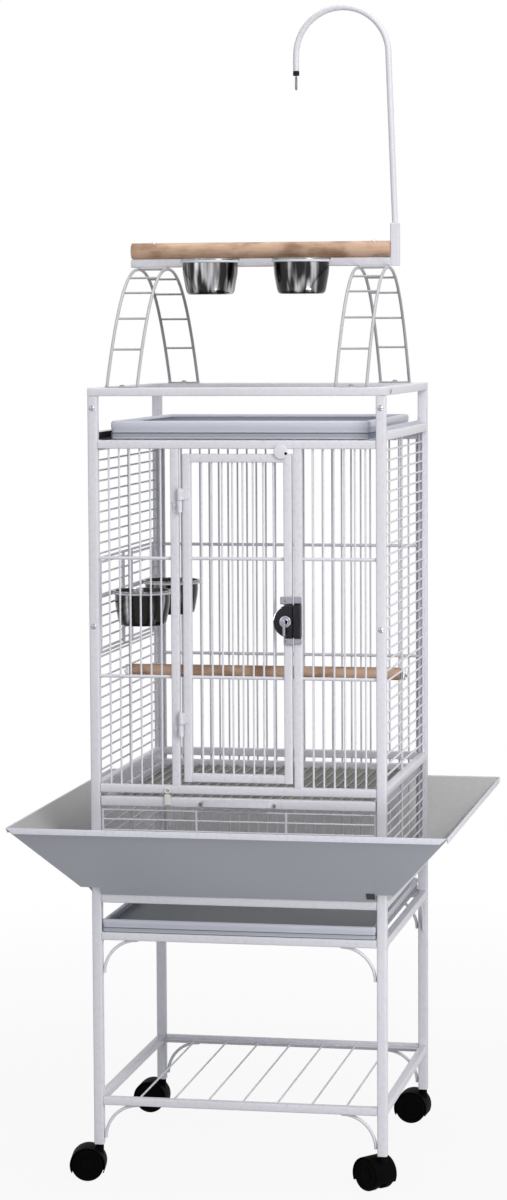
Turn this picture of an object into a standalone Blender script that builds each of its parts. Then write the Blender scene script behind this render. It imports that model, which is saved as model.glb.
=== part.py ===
"""Play top parrot cage on a wheeled stand, modelled for Blender 4.5 in metres, +Z up.

The origin is the centre of the footprint on the floor, and the front door faces -Y.
"""
import math

import bmesh
import bpy
from mathutils import Matrix, Vector

# Overall frame
WIDTH = 0.457
DEPTH = 0.457
CASTER_HEIGHT = 0.055
POST = 0.015
POST_WALL = 0.0015
RAIL = 0.0127
GAP = 0.0003
SINK = 0.002

# Heights of the tops of the rails
SHELF_TOP = 0.130
LOWER_RAIL_TOP = 0.3875
UPPER_RAIL_TOP = 0.4458
FLOOR_RAIL_TOP = 0.6164
ROOF_RAIL_TOP = 1.1414
TOP_RAIL_TOP = 1.2209

# Bars and wires
WIRE = 0.003
EDGE_WIRE = 0.004
STIFFENER = 0.004
CROSS_BAR = 0.0052
CROSS_SPREAD = 0.0049
BACK_CROSS_DROP = 0.0078
BAR_PITCH = 0.016
SKIRT_PITCH = 0.0175
SKIRT_TOP = 0.5785
SKIRT_UPRIGHTS = (-0.065, 0.074)
BRACE_RADIUS = 0.052
BRACE_WIRE = 0.005
SHELF_WIRES = 7

# Main door, its uprights and hinges
DOOR_OPENING = 0.1764
HINGE_SIDE_GAP = 0.006
LATCH_SIDE_GAP = 0.0025
DOOR_BOTTOM_GAP = 0.0060
DOOR_TOP_GAP = 0.0077
HINGE_SETBACK = 0.0045
HINGE_AXIS_FROM_UPRIGHT = 0.003
HINGE_RADIUS = 0.004
HINGE_PIN_RADIUS = 0.0018
HINGE_BORE_RADIUS = 0.0022
KNUCKLE_HEIGHT = 0.018
HINGE_LEAF = 0.0012
HINGE_LEAF_WIDTH = 0.0115
HINGE_FROM_DOOR_END = 0.070

# Door lock
LOCK_HEIGHT = 0.870
LOCK_RADIUS = 0.025
LOCK_DEPTH = 0.0115
LOCK_SPLIT_GAP = 0.0011
LOCK_SPLIT_FROM_UPRIGHT = 0.0007
LOCK_ROUND_CENTRE_IN = 0.0045
BOLT_THICK = 0.004
BOLT_TALL = 0.008
BOLT_LENGTH = 0.016
BOLT_CLEARANCE = 0.0005
BOLT_TRAVEL = 0.008
KNOB_RADIUS = 0.0092
KNOB_BASE = 0.003
KNOB_FROM_CASE_CENTRE = 0.0055
KNOB_LEVER_LENGTH = 0.0225
KNOB_LEVER_WIDTH = 0.006
KNOB_DEPTH = 0.009

# Round turn button at the top of the door
BUTTON_RADIUS = 0.011
BUTTON_THICK = 0.004
BUTTON_FROM_LATCH_EDGE = 0.0162
BUTTON_RISE = 0.0095

# Floor grate drawer
GRATE_TOP = 0.598
GRATE_HEIGHT = 0.015
GRATE_BAR = 0.0127
GRATE_SIDE_PLAY = 0.001
GRATE_CROSS_WIRES = 2
PULL_WIDTH = 0.103
PULL_THICK = 0.0022
PULL_HEIGHT = 0.009
PULL_STAND = 0.006
PULL_FOOT = 0.004
RUNNER_THICK = 0.0015
RUNNER_SHELF = 0.012
GRATE_LATCH_X = -0.108
GRATE_LATCH_WIDTH = 0.010
GRATE_LATCH_THICK = 0.003
GRATE_LATCH_LENGTH = 0.028

# Trays
TRAY_WALL = 0.0015
DIRT_TRAY_HEIGHT = 0.0195
DIRT_TRAY_SIDE_PLAY = 0.001
DIRT_TRAY_BACK_GAP = 0.0032
PLAY_TRAY_SIDE_GAP = 0.0158
PLAY_TRAY_FRONT = 0.032
PLAY_TRAY_BACK = 0.0185
PLAY_TRAY_HEIGHT = 0.0283
GUIDE_THICK = 0.0015
GUIDE_HEIGHT = 0.018

# Seed guard
GUARD_REACH = 0.1065
GUARD_TOP = 0.562
GUARD_SHEET = 0.0015
GUARD_LIP = 0.0102
GUARD_LIP_RELIEF = 0.011
GUARD_NOTCH = 0.013

# Feeder doors in the left wall
FEEDER_BOTTOM = 0.815
FEEDER_HEIGHT = 0.142
FEEDER_WIDTH = 0.156
FEEDER_FROM_MIDDLE = 0.105
FEEDER_PLAY = 0.0025
FEEDER_BARS = 7

# Cups and their rings
CUP_RIM_RADIUS = 0.046
CUP_BODY_RADIUS = 0.0430
CUP_BASE_RADIUS = 0.036
CUP_HEIGHT = 0.055
CUP_SHOULDER = 0.0193
CUP_WALL = 0.0012
CUP_RIM_THICK = 0.0024
CUP_RING_PLAY = 0.0008
CUP_RING_WIRE = 0.0035
FEEDER_CUP_RIM_Z = 0.905
PLAY_CUP_X = (-0.071, 0.0727)
PLAY_CUP_FROM_BAR = 0.0563
PLAY_CUP_RIM_OVER_BAR = -0.0013
CUP_ARM_WIDTH = 0.012

# Inner perch and play top
INNER_PERCH_RADIUS = 0.010
INNER_PERCH_Z = 0.768
PLAY_BAR_Z = 1.4056
PLAY_BAR_INSET = 0.018
PLAY_PERCH_RADIUS = 0.0127
PLAY_PERCH_INSET = 0.019
ARCH_INSET = 0.0295
ARCH_WIDTH = 0.047
ARCH_WIRE = 0.005
ARCH_RUNG_WIRE = 0.0035
ARCH_FOOT_INSET = 0.0075
ARCH_POWER = 2.2
ARCH_STEPS = 10
ARCH_RUNGS = (0.31, 0.57, 0.79, 0.92)
ARCH_FOOT_WIDTH = 0.012
ARCH_FOOT_THICK = 0.0016

# Toy hook
SOCKET = 0.014
SOCKET_INSET = 0.0192
SOCKET_TOP = 1.471
SOCKET_BORE_RADIUS = 0.0056
SOCKET_BORE_DEPTH = 0.012
HOOK_RADIUS = 0.00475
HOOK_LEAN = math.radians(2.2)
HOOK_BEND_Z = 1.7315
HOOK_BEND_RADIUS = 0.0725
HOOK_DROP = 0.0315
CLIP_LENGTH = 0.022
CLIP_HALF_WIDTH = 0.0045
CLIP_WIRE = 0.0024

# Casters
WHEEL_RADIUS = 0.025
WHEEL_INNER = 0.0060
WHEEL_OUTER = 0.0200
AXLE_RADIUS = 0.0035
AXLE_BORE_RADIUS = 0.0042
CASTER_TRAIL = 0.018
CASTER_WEB = 0.0090
HOOD_RADIUS = 0.0262
HOOD_WALL = 0.0014
HOOD_HALF_WIDTH = 0.0215
HOOD_START = math.radians(-25)
HOOD_END = math.radians(205)
HOOD_STEPS = 16
CASTER_NECK_RADIUS = 0.0064
CASTER_STEM_RADIUS = 0.0045
CASTER_STEM_LENGTH = 0.030
CASTER_HEADINGS = {
    "front_left": math.radians(189),
    "front_right": math.radians(142),
    "back_left": math.radians(180),
    "back_right": math.radians(176),
}

# Derived places
HALF_W = WIDTH / 2
HALF_D = DEPTH / 2
POST_IN_X = HALF_W - POST - GAP
POST_IN_Y = HALF_D - POST - GAP
RAIL_IN_X = HALF_W - RAIL
RAIL_IN_Y = HALF_D - RAIL
WALL_X = HALF_W - RAIL / 2
WALL_Y = HALF_D - RAIL / 2
SIDE_ROOF_TOP = ROOF_RAIL_TOP + RAIL
DOOR_LEFT = -DOOR_OPENING / 2 + HINGE_SIDE_GAP
DOOR_RIGHT = DOOR_OPENING / 2 - LATCH_SIDE_GAP
DOOR_BOTTOM = FLOOR_RAIL_TOP + DOOR_BOTTOM_GAP
DOOR_TOP = ROOF_RAIL_TOP - RAIL - DOOR_TOP_GAP
HINGE_X = -DOOR_OPENING / 2 + HINGE_AXIS_FROM_UPRIGHT
HINGE_Y = -HALF_D - HINGE_SETBACK
PLAY_TRAY_HALF_WIDTH = RAIL_IN_X - PLAY_TRAY_SIDE_GAP
PLAY_BAR_TOP = PLAY_BAR_Z + RAIL
PLAY_BAR_LEFT = -HALF_W + PLAY_BAR_INSET
PLAY_PERCH_LEFT = -HALF_W + PLAY_PERCH_INSET
SOCKET_X = HALF_W - SOCKET_INSET
ARCH_OUTER = HALF_W - ARCH_INSET
ARCH_INNER = ARCH_OUTER - ARCH_WIDTH
ARCH_HALF_SPAN = HALF_D - ARCH_FOOT_INSET
GRATE_HALF_X = POST_IN_X - GRATE_SIDE_PLAY
RING_INNER = CUP_BODY_RADIUS + CUP_RING_PLAY
RING_OUTER = RING_INNER + CUP_RING_WIRE
FACETS = 20
CROSS_SET_BACK = (WIRE + CROSS_BAR) / 2 + GAP
STIFFENER_SET_BACK = (WIRE + STIFFENER) / 2 + GAP


def clear_scene():
    """Start from an empty scene."""
    for old in list(bpy.data.objects):
        bpy.data.objects.remove(old, do_unlink=True)


def make_material(name, colour, roughness, metallic=0.0):
    """Return a Principled material with one colour."""
    material = bpy.data.materials.new(name)
    material.use_nodes = True
    shader = material.node_tree.nodes["Principled BSDF"]
    shader.inputs["Base Color"].default_value = (*colour, 1.0)
    shader.inputs["Roughness"].default_value = roughness
    shader.inputs["Metallic"].default_value = metallic
    return material


def solid_from(points, faces):
    """Return a mesh solid from its points and faces, with every face turned outward."""
    shape = bmesh.new()
    corners = [shape.verts.new(point) for point in points]
    for face in faces:
        shape.faces.new([corners[index] for index in face])
    bmesh.ops.recalc_face_normals(shape, faces=shape.faces)
    mesh = bpy.data.meshes.new("solid")
    shape.to_mesh(mesh)
    shape.free()
    return mesh


def block(x_span, y_span, z_span):
    """Return a rectangular block between three pairs of limits."""
    shape = bmesh.new()
    bmesh.ops.create_cube(shape, size=1.0)
    spans = [sorted(span) for span in (x_span, y_span, z_span)]
    size = Vector([high - low for low, high in spans])
    centre = Vector([(high + low) / 2 for low, high in spans])
    bmesh.ops.transform(shape, verts=shape.verts,
                        matrix=Matrix.Translation(centre) @ Matrix.Diagonal((*size, 1.0)))
    mesh = bpy.data.meshes.new("block")
    shape.to_mesh(mesh)
    shape.free()
    return mesh


def ringed(rings, closed_path=False):
    """Return a solid that joins equal rings of points, with flat end caps or a closed loop."""
    count = len(rings[0])
    points = [point for ring in rings for point in ring]
    faces = []
    pairs = len(rings) if closed_path else len(rings) - 1
    for step in range(pairs):
        first = step * count
        second = ((step + 1) % len(rings)) * count
        for index in range(count):
            after = (index + 1) % count
            faces.append((first + index, first + after, second + after, second + index))
    if not closed_path:
        faces.append(tuple(range(count)))
        faces.append(tuple(range(len(points) - count, len(points))))
    return solid_from(points, faces)


def rod(path, radius, sides=6, closed_path=False):
    """Return a round wire of few sides along a path of points."""
    path = [Vector(point) for point in path]
    rings = []
    normal = None
    for index, point in enumerate(path):
        before = path[index - 1] if index or closed_path else point
        after = path[(index + 1) % len(path)] if index + 1 < len(path) or closed_path else point
        along = (after - before).normalized()
        if normal is None:
            normal = along.orthogonal().normalized()
        normal = (normal - along * normal.dot(along)).normalized()
        side = along.cross(normal)
        turns = [2 * math.pi * (step + 0.5) / sides for step in range(sides)]
        rings.append([point + (normal * math.cos(turn) + side * math.sin(turn)) * radius
                      for turn in turns])
    return ringed(rings, closed_path)


def cylinder(base, along, radius, sides=FACETS):
    """Return a cylinder with its flats at the stated radius from its axis."""
    along = Vector(along)
    outer = radius / math.cos(math.pi / sides)
    return rod([Vector(base), Vector(base) + along], outer, sides)


def turned(profile, centre, axis="Z", steps=FACETS):
    """Return a turned solid from a closed profile of (radius, height) points off the axis."""
    rings = []
    for step in range(steps):
        turn = 2 * math.pi * (step + 0.5) / steps
        ring = []
        for radius, height in profile:
            flat = radius / math.cos(math.pi / steps)
            around = (flat * math.cos(turn), flat * math.sin(turn))
            if axis == "Z":
                offset = Vector((around[0], around[1], height))
            else:
                offset = Vector((height, around[0], around[1]))
            ring.append(Vector(centre) + offset)
        rings.append(ring)
    return ringed(rings, closed_path=True)


def frame_ring(half_x, half_y, bar_x, bar_y, z_span, centre=(0.0, 0.0)):
    """Return a rectangular ring lying flat, with its bars' widths along X and Y."""
    rings = []
    for sign_x, sign_y in ((-1, -1), (1, -1), (1, 1), (-1, 1)):
        outer = (centre[0] + sign_x * half_x, centre[1] + sign_y * half_y)
        inner = (outer[0] - sign_x * bar_x, outer[1] - sign_y * bar_y)
        rings.append([(*outer, z_span[0]), (*outer, z_span[1]),
                      (*inner, z_span[1]), (*inner, z_span[0])])
    return ringed(rings, closed_path=True)


def pan(x_span, y_span, z_span, wall):
    """Return an open tray with a floor and four walls of one thickness."""
    def corners(inset, height):
        return [(x_span[0] + inset, y_span[0] + inset, height),
                (x_span[1] - inset, y_span[0] + inset, height),
                (x_span[1] - inset, y_span[1] - inset, height),
                (x_span[0] + inset, y_span[1] - inset, height)]
    rings = [corners(0, z_span[0]), corners(0, z_span[1]),
             corners(wall, z_span[1]), corners(wall, z_span[0] + wall)]
    return ringed(rings)


def arc(centre, radius, start, end, steps, plane="XZ"):
    """Return points on an arc in the XZ or the YZ plane."""
    points = []
    for step in range(steps + 1):
        turn = start + (end - start) * step / steps
        across = radius * math.cos(turn)
        up = radius * math.sin(turn)
        if plane == "XZ":
            points.append(Vector(centre) + Vector((across, 0, up)))
        else:
            points.append(Vector(centre) + Vector((0, across, up)))
    return points


def swap_xy(mesh):
    """Turn a solid a quarter turn about the Z axis, so that its X side faces Y."""
    mesh.transform(Matrix.Rotation(math.radians(90), 4, "Z"))
    return mesh


def join(meshes):
    """Return one mesh that holds several solids."""
    shape = bmesh.new()
    for mesh in meshes:
        shape.from_mesh(mesh)
    joined = bpy.data.meshes.new("joined")
    shape.to_mesh(joined)
    shape.free()
    return joined


def combine(base, others, operation):
    """Return the Boolean union of solids, or the first less the others."""
    body = bpy.data.objects.new("body", base)
    tool = bpy.data.objects.new("tool", join(others))
    for item in (body, tool):
        bpy.context.collection.objects.link(item)
    cut = body.modifiers.new("cut", "BOOLEAN")
    cut.operation = operation
    cut.solver = "EXACT"
    cut.use_self = True
    cut.object = tool
    bpy.context.view_layer.update()
    graph = bpy.context.evaluated_depsgraph_get()
    result = bpy.data.meshes.new_from_object(body.evaluated_get(graph))
    bpy.data.objects.remove(body, do_unlink=True)
    bpy.data.objects.remove(tool, do_unlink=True)
    return result


def weld(meshes):
    """Return one body from solids that run into each other."""
    return combine(meshes[0], meshes[1:], "UNION")


def carve(base, cutters):
    """Return a solid with the cutters taken away from it."""
    return combine(base, cutters, "DIFFERENCE")


def add_part(name, mesh, material, pivot=(0.0, 0.0, 0.0), smooth=False):
    """Add a named object with its origin on its pivot."""
    mesh.transform(Matrix.Translation(-Vector(pivot)))
    mesh.materials.clear()
    mesh.materials.append(material)
    mesh.name = name
    if smooth:
        mesh.shade_smooth()
        mesh.set_sharp_from_angle(angle=math.radians(35))
    item = bpy.data.objects.new(name, mesh)
    item.location = pivot
    bpy.context.collection.objects.link(item)
    return item


def spaced(low, high, pitch):
    """Return the places of bars that fill a span at about the pitch."""
    count = max(1, round((high - low) / pitch) - 1)
    return [low + (high - low) * (index + 1) / (count + 1) for index in range(count)]


def bar_x(x_span, y, z, thick):
    """Return a square bar along X."""
    half = thick / 2
    return block(x_span, (y - half, y + half), (z - half, z + half))


def bar_y(x, y_span, z, thick):
    """Return a square bar along Y."""
    half = thick / 2
    return block((x - half, x + half), y_span, (z - half, z + half))


def bar_z(x, y, z_span, thick):
    """Return a square bar along Z."""
    half = thick / 2
    return block((x - half, x + half), (y - half, y + half), z_span)


def leg_braces(rail_bottom, half_span, wall):
    """Return the two quarter-round braces between the posts and the underside of a rail."""
    braces = []
    for side in (-1, 1):
        bend = half_span - BRACE_WIRE / 2 - BRACE_RADIUS
        centre = (side * bend, wall, rail_bottom - BRACE_RADIUS)
        start = math.radians(0 if side > 0 else 180)
        points = arc(centre, BRACE_RADIUS, start, math.radians(90), 6)
        points.append(points[-1] + Vector((-side * SINK, 0, SINK)))
        braces.append(rod(points, BRACE_WIRE / 2, 4))
    return braces


def add_posts(paint):
    """Add the four corner tubes."""
    for name, side_x, side_y in corners():
        centre = (side_x * (HALF_W - POST / 2), side_y * (HALF_D - POST / 2))
        z_span = (CASTER_HEIGHT, TOP_RAIL_TOP - RAIL - GAP)
        tube = frame_ring(POST / 2, POST / 2, POST_WALL, POST_WALL, z_span, centre)
        add_part("post_" + name, tube, paint)


def corners():
    """Return the name and the signs of each corner."""
    return (("front_left", -1, -1), ("front_right", 1, -1),
            ("back_left", -1, 1), ("back_right", 1, 1))


def add_top_ring(paint):
    """Add the ring of tubes that the play top stands on."""
    z_span = (TOP_RAIL_TOP - RAIL, TOP_RAIL_TOP)
    add_part("play_top_ring", frame_ring(HALF_W, HALF_D, RAIL, RAIL, z_span), paint)


def add_stand(paint):
    """Add the lower rails with their braces, and the storage shelf."""
    z_span = (LOWER_RAIL_TOP - RAIL, LOWER_RAIL_TOP)
    for name, side in (("front", -1), ("back", 1)):
        rail = block((-POST_IN_X, POST_IN_X), (side * RAIL_IN_Y, side * HALF_D), z_span)
        braces = leg_braces(z_span[0], POST_IN_X, side * WALL_Y)
        add_part("stand_rail_" + name, weld([rail] + braces), paint)
    for name, side in (("left", 1), ("right", -1)):
        rail = block((-POST_IN_Y, POST_IN_Y), (side * RAIL_IN_X, side * HALF_W), z_span)
        braces = leg_braces(z_span[0], POST_IN_Y, side * WALL_X)
        add_part("stand_rail_" + name, swap_xy(weld([rail] + braces)), paint)
    add_part("storage_shelf", weld(shelf_solids()), paint)


def shelf_solids():
    """Return the rails, wires and braces of the shelf."""
    z_span = (SHELF_TOP - RAIL, SHELF_TOP)
    wire_z = SHELF_TOP - RAIL / 2
    solids = []
    for side in (-1, 1):
        solids.append(block((-POST_IN_X, POST_IN_X), (side * RAIL_IN_Y, side * HALF_D), z_span))
        solids.append(block((side * RAIL_IN_X, side * HALF_W), (-POST_IN_Y, POST_IN_Y), z_span))
        solids.append(bar_x((-RAIL_IN_X - SINK, RAIL_IN_X + SINK), side * (POST_IN_Y - WIRE / 2), wire_z, WIRE))
        solids += leg_braces(z_span[0], POST_IN_X, side * WALL_Y)
    for x in spaced(-RAIL_IN_X, RAIL_IN_X, 2 * RAIL_IN_X / (SHELF_WIRES + 1)):
        solids.append(bar_y(x, (-RAIL_IN_Y - SINK, RAIL_IN_Y + SINK), wire_z, WIRE))
    return solids


def wall_rails():
    """Return the two lower rails of the back wall."""
    rails = []
    for top in (UPPER_RAIL_TOP, FLOOR_RAIL_TOP):
        rails.append(block((-POST_IN_X, POST_IN_X), (RAIL_IN_Y, HALF_D), (top - RAIL, top)))
    return rails


def cross_heights():
    """Return the heights of the two cross bars of the front, a little outside the thirds of its bars."""
    low = FLOOR_RAIL_TOP
    high = ROOF_RAIL_TOP - RAIL
    return (low + (high - low) / 3 - CROSS_SPREAD, low + (high - low) * 2 / 3 + CROSS_SPREAD)


def add_back_panel(paint):
    """Add the back wall of upright bars."""
    solids = wall_rails()
    roof = (ROOF_RAIL_TOP - RAIL, ROOF_RAIL_TOP)
    solids.append(block((-POST_IN_X, POST_IN_X), (RAIL_IN_Y, HALF_D), roof))
    for x in spaced(-POST_IN_X, POST_IN_X, BAR_PITCH):
        solids.append(bar_z(x, WALL_Y, (UPPER_RAIL_TOP - SINK, roof[0] + SINK), WIRE))
    for end in (-1, 1):
        x = end * (POST_IN_X - EDGE_WIRE / 2)
        solids.append(bar_z(x, WALL_Y - EDGE_WIRE / 2, (UPPER_RAIL_TOP - SINK, roof[0] + SINK), EDGE_WIRE))
    cross_y = WALL_Y - CROSS_SET_BACK
    for z in cross_heights():
        solids.append(bar_x((-POST_IN_X + GAP, POST_IN_X - GAP), cross_y, z - BACK_CROSS_DROP, CROSS_BAR))
    add_part("back_panel", weld(solids), paint)


def side_solids(side, gaps):
    """Return the solids of a side wall, with its wires left out of the feeder openings."""
    x_span = (side * RAIL_IN_X, side * HALF_W)
    x = side * WALL_X
    y_span = (-POST_IN_Y, POST_IN_Y)
    solids = []
    for top in (UPPER_RAIL_TOP, FLOOR_RAIL_TOP, SIDE_ROOF_TOP):
        solids.append(block(x_span, y_span, (top - RAIL, top)))
    uprights = (UPPER_RAIL_TOP - SINK, ROOF_RAIL_TOP + SINK)
    for end in (-1, 1):
        y = end * (POST_IN_Y - EDGE_WIRE / 2)
        solids.append(bar_z(x, y, uprights, EDGE_WIRE))
    solids.append(bar_z(side * (WALL_X - STIFFENER_SET_BACK), 0.0, uprights, STIFFENER))
    reach = POST_IN_Y - EDGE_WIRE / 2
    levels = spaced(UPPER_RAIL_TOP, FLOOR_RAIL_TOP - RAIL, BAR_PITCH)
    levels += spaced(FLOOR_RAIL_TOP, ROOF_RAIL_TOP, BAR_PITCH)
    for z in levels:
        runs = [(-reach, reach)]
        if gaps and FEEDER_BOTTOM - WIRE < z < FEEDER_BOTTOM + FEEDER_HEIGHT + WIRE:
            runs = wire_runs(reach, gaps)
        solids += [bar_y(x, run, z, WIRE) for run in runs]
    return solids


def wire_runs(reach, gaps):
    """Return the stretches of a wire that the openings leave."""
    runs = []
    start = -reach
    for low, high in gaps:
        runs.append((start, low - EDGE_WIRE / 2))
        start = high + EDGE_WIRE / 2
    runs.append((start, reach))
    return runs


def feeder_openings():
    """Return the Y limits of the two feeder openings, front one first."""
    half = FEEDER_WIDTH / 2
    return [(-FEEDER_FROM_MIDDLE - half, -FEEDER_FROM_MIDDLE + half),
            (FEEDER_FROM_MIDDLE - half, FEEDER_FROM_MIDDLE + half)]


def add_side_panels(paint):
    """Add the right wall, and the left wall with its framed feeder openings."""
    add_part("right_panel", weld(side_solids(1, [])), paint)
    gaps = feeder_openings()
    solids = side_solids(-1, gaps)
    top = FEEDER_BOTTOM + FEEDER_HEIGHT
    for low, high in gaps:
        for y in (low - EDGE_WIRE / 2, high + EDGE_WIRE / 2):
            solids.append(bar_z(-WALL_X, y, (FEEDER_BOTTOM - EDGE_WIRE, top + EDGE_WIRE), EDGE_WIRE))
        for z in (FEEDER_BOTTOM - EDGE_WIRE / 2, top + EDGE_WIRE / 2):
            solids.append(bar_y(-WALL_X, (low - EDGE_WIRE / 2, high + EDGE_WIRE / 2), z, EDGE_WIRE))
    for z in (FEEDER_BOTTOM - EDGE_WIRE / 2, top + EDGE_WIRE / 2):
        solids.append(bar_y(-WALL_X, (gaps[0][1], gaps[1][0]), z, EDGE_WIRE))
        for side in (-1, 1):
            end = side * (POST_IN_Y - EDGE_WIRE / 2)
            start = side * (FEEDER_FROM_MIDDLE + FEEDER_WIDTH / 2)
            solids.append(bar_y(-WALL_X, sorted((start, end)), z, EDGE_WIRE))
    add_part("left_panel", weld(solids), paint)


def add_front_panel(paint):
    """Add the front wall: rails, door uprights, bars and cross bars."""
    y_span = (-HALF_D, -RAIL_IN_Y)
    floor = (FLOOR_RAIL_TOP - RAIL, FLOOR_RAIL_TOP)
    roof = (ROOF_RAIL_TOP - RAIL, ROOF_RAIL_TOP)
    solids = [block((-POST_IN_X, POST_IN_X), y_span, span) for span in (floor, roof)]
    bars = (floor[1] - SINK, roof[0] + SINK)
    for side in (-1, 1):
        inner = DOOR_OPENING / 2
        outer = inner + RAIL
        solids.append(block((side * inner, side * outer), y_span, bars))
        for x in spaced(outer, POST_IN_X, BAR_PITCH):
            solids.append(bar_z(side * x, -WALL_Y, bars, WIRE))
        for z in cross_heights():
            run = sorted((side * (outer - SINK), side * POST_IN_X))
            solids.append(bar_x(run, -WALL_Y, z, CROSS_BAR))
    add_part("front_panel", weld(solids), paint)


def add_skirt(paint):
    """Add the grille of level wires below the grate, with the stand's upper front rail."""
    rail = block((-POST_IN_X, POST_IN_X), (-HALF_D, -RAIL_IN_Y),
                 (UPPER_RAIL_TOP - RAIL, UPPER_RAIL_TOP))
    solids = [rail]
    uprights = (UPPER_RAIL_TOP - SINK, SKIRT_TOP)
    for x in (*SKIRT_UPRIGHTS, -POST_IN_X + EDGE_WIRE / 2, POST_IN_X - EDGE_WIRE / 2):
        solids.append(bar_z(x, -WALL_Y, uprights, EDGE_WIRE))
    levels = spaced(UPPER_RAIL_TOP, SKIRT_TOP, SKIRT_PITCH)
    levels.append(SKIRT_TOP - EDGE_WIRE / 2)
    reach = POST_IN_X - EDGE_WIRE / 2
    for z in levels:
        solids.append(bar_x((-reach, reach), -WALL_Y, z, WIRE))
    add_part("front_skirt", weld(solids), paint)


def add_roof(paint):
    """Add the roof grille that the play tray lies on."""
    half_x = POST_IN_X
    half_y = RAIL_IN_Y - GAP
    z_span = (ROOF_RAIL_TOP - EDGE_WIRE, ROOF_RAIL_TOP)
    wire_z = ROOF_RAIL_TOP - WIRE / 2
    solids = [frame_ring(half_x, half_y, EDGE_WIRE, EDGE_WIRE, z_span)]
    reach = half_y - EDGE_WIRE / 2
    for x in spaced(-half_x, half_x, BAR_PITCH):
        solids.append(bar_y(x, (-reach, reach), wire_z - GAP, WIRE))
    cross = half_x - EDGE_WIRE / 2
    solids.append(bar_x((-cross, cross), 0.0, wire_z - (WIRE + EDGE_WIRE) / 2 - 2 * GAP, EDGE_WIRE))
    add_part("roof_grille", weld(solids), paint)


def hinge_heights():
    """Return the base heights of the two door hinges."""
    return {"upper": DOOR_TOP - HINGE_FROM_DOOR_END - KNUCKLE_HEIGHT,
            "lower": DOOR_BOTTOM + HINGE_FROM_DOOR_END}


def add_door(paint):
    """Add the main door with its own hinge knuckles."""
    y_span = (-HALF_D, -RAIL_IN_Y)
    left_in = DOOR_LEFT + RAIL
    right_in = DOOR_RIGHT - RAIL
    low_in = DOOR_BOTTOM + RAIL
    high_in = DOOR_TOP - RAIL
    solids = [block((DOOR_LEFT, left_in), y_span, (DOOR_BOTTOM, DOOR_TOP)),
              block((right_in, DOOR_RIGHT), y_span, (DOOR_BOTTOM, DOOR_TOP))]
    rails = (left_in - SINK, right_in + SINK)
    solids.append(block(rails, y_span, (DOOR_BOTTOM, low_in)))
    solids.append(block(rails, y_span, (high_in, DOOR_TOP)))
    for x in spaced(left_in, right_in, BAR_PITCH):
        solids.append(bar_z(x, -WALL_Y, (low_in - SINK, high_in + SINK), WIRE))
    for z in cross_heights():
        solids.append(bar_x(rails, -WALL_Y, z, CROSS_BAR))
    bores = []
    for base in hinge_heights().values():
        foot = base + KNUCKLE_HEIGHT + GAP
        head = foot + KNUCKLE_HEIGHT
        solids.append(cylinder((HINGE_X, HINGE_Y, foot), (0, 0, KNUCKLE_HEIGHT), HINGE_RADIUS, 12))
        solids.append(block((HINGE_X, DOOR_LEFT + HINGE_LEAF_WIDTH),
                            (-HALF_D - HINGE_LEAF, -HALF_D + SINK), (foot + GAP, head - GAP)))
        bores.append(cylinder((HINGE_X, HINGE_Y, foot - SINK), (0, 0, KNUCKLE_HEIGHT + 2 * SINK),
                              HINGE_BORE_RADIUS, 12))
    add_part("main_door", carve(weld(solids), bores), paint, (HINGE_X, HINGE_Y, DOOR_BOTTOM))


def add_hinges(metal):
    """Add the fixed half of each hinge: leaf, knuckle and pin."""
    for name, base in hinge_heights().items():
        knuckle = cylinder((HINGE_X, HINGE_Y, base), (0, 0, KNUCKLE_HEIGHT), HINGE_RADIUS, 12)
        pin = cylinder((HINGE_X, HINGE_Y, base + SINK), (0, 0, 2 * KNUCKLE_HEIGHT), HINGE_PIN_RADIUS, 8)
        leaf = block((HINGE_X - HINGE_LEAF_WIDTH, HINGE_X),
                     (-HALF_D - GAP - HINGE_LEAF, -HALF_D - GAP), (base + GAP, base + KNUCKLE_HEIGHT - GAP))
        arm = block((HINGE_X - HINGE_RADIUS / 2, HINGE_X + HINGE_RADIUS / 2),
                    (HINGE_Y, -HALF_D - GAP - HINGE_LEAF / 2), (base + GAP, base + KNUCKLE_HEIGHT - GAP))
        add_part("door_hinge_" + name, weld([knuckle, pin, leaf, arm]), metal)


def lock_split():
    """Return the X of the split between the lock case and its keeper."""
    return DOOR_OPENING / 2 + LOCK_SPLIT_FROM_UPRIGHT


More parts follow.
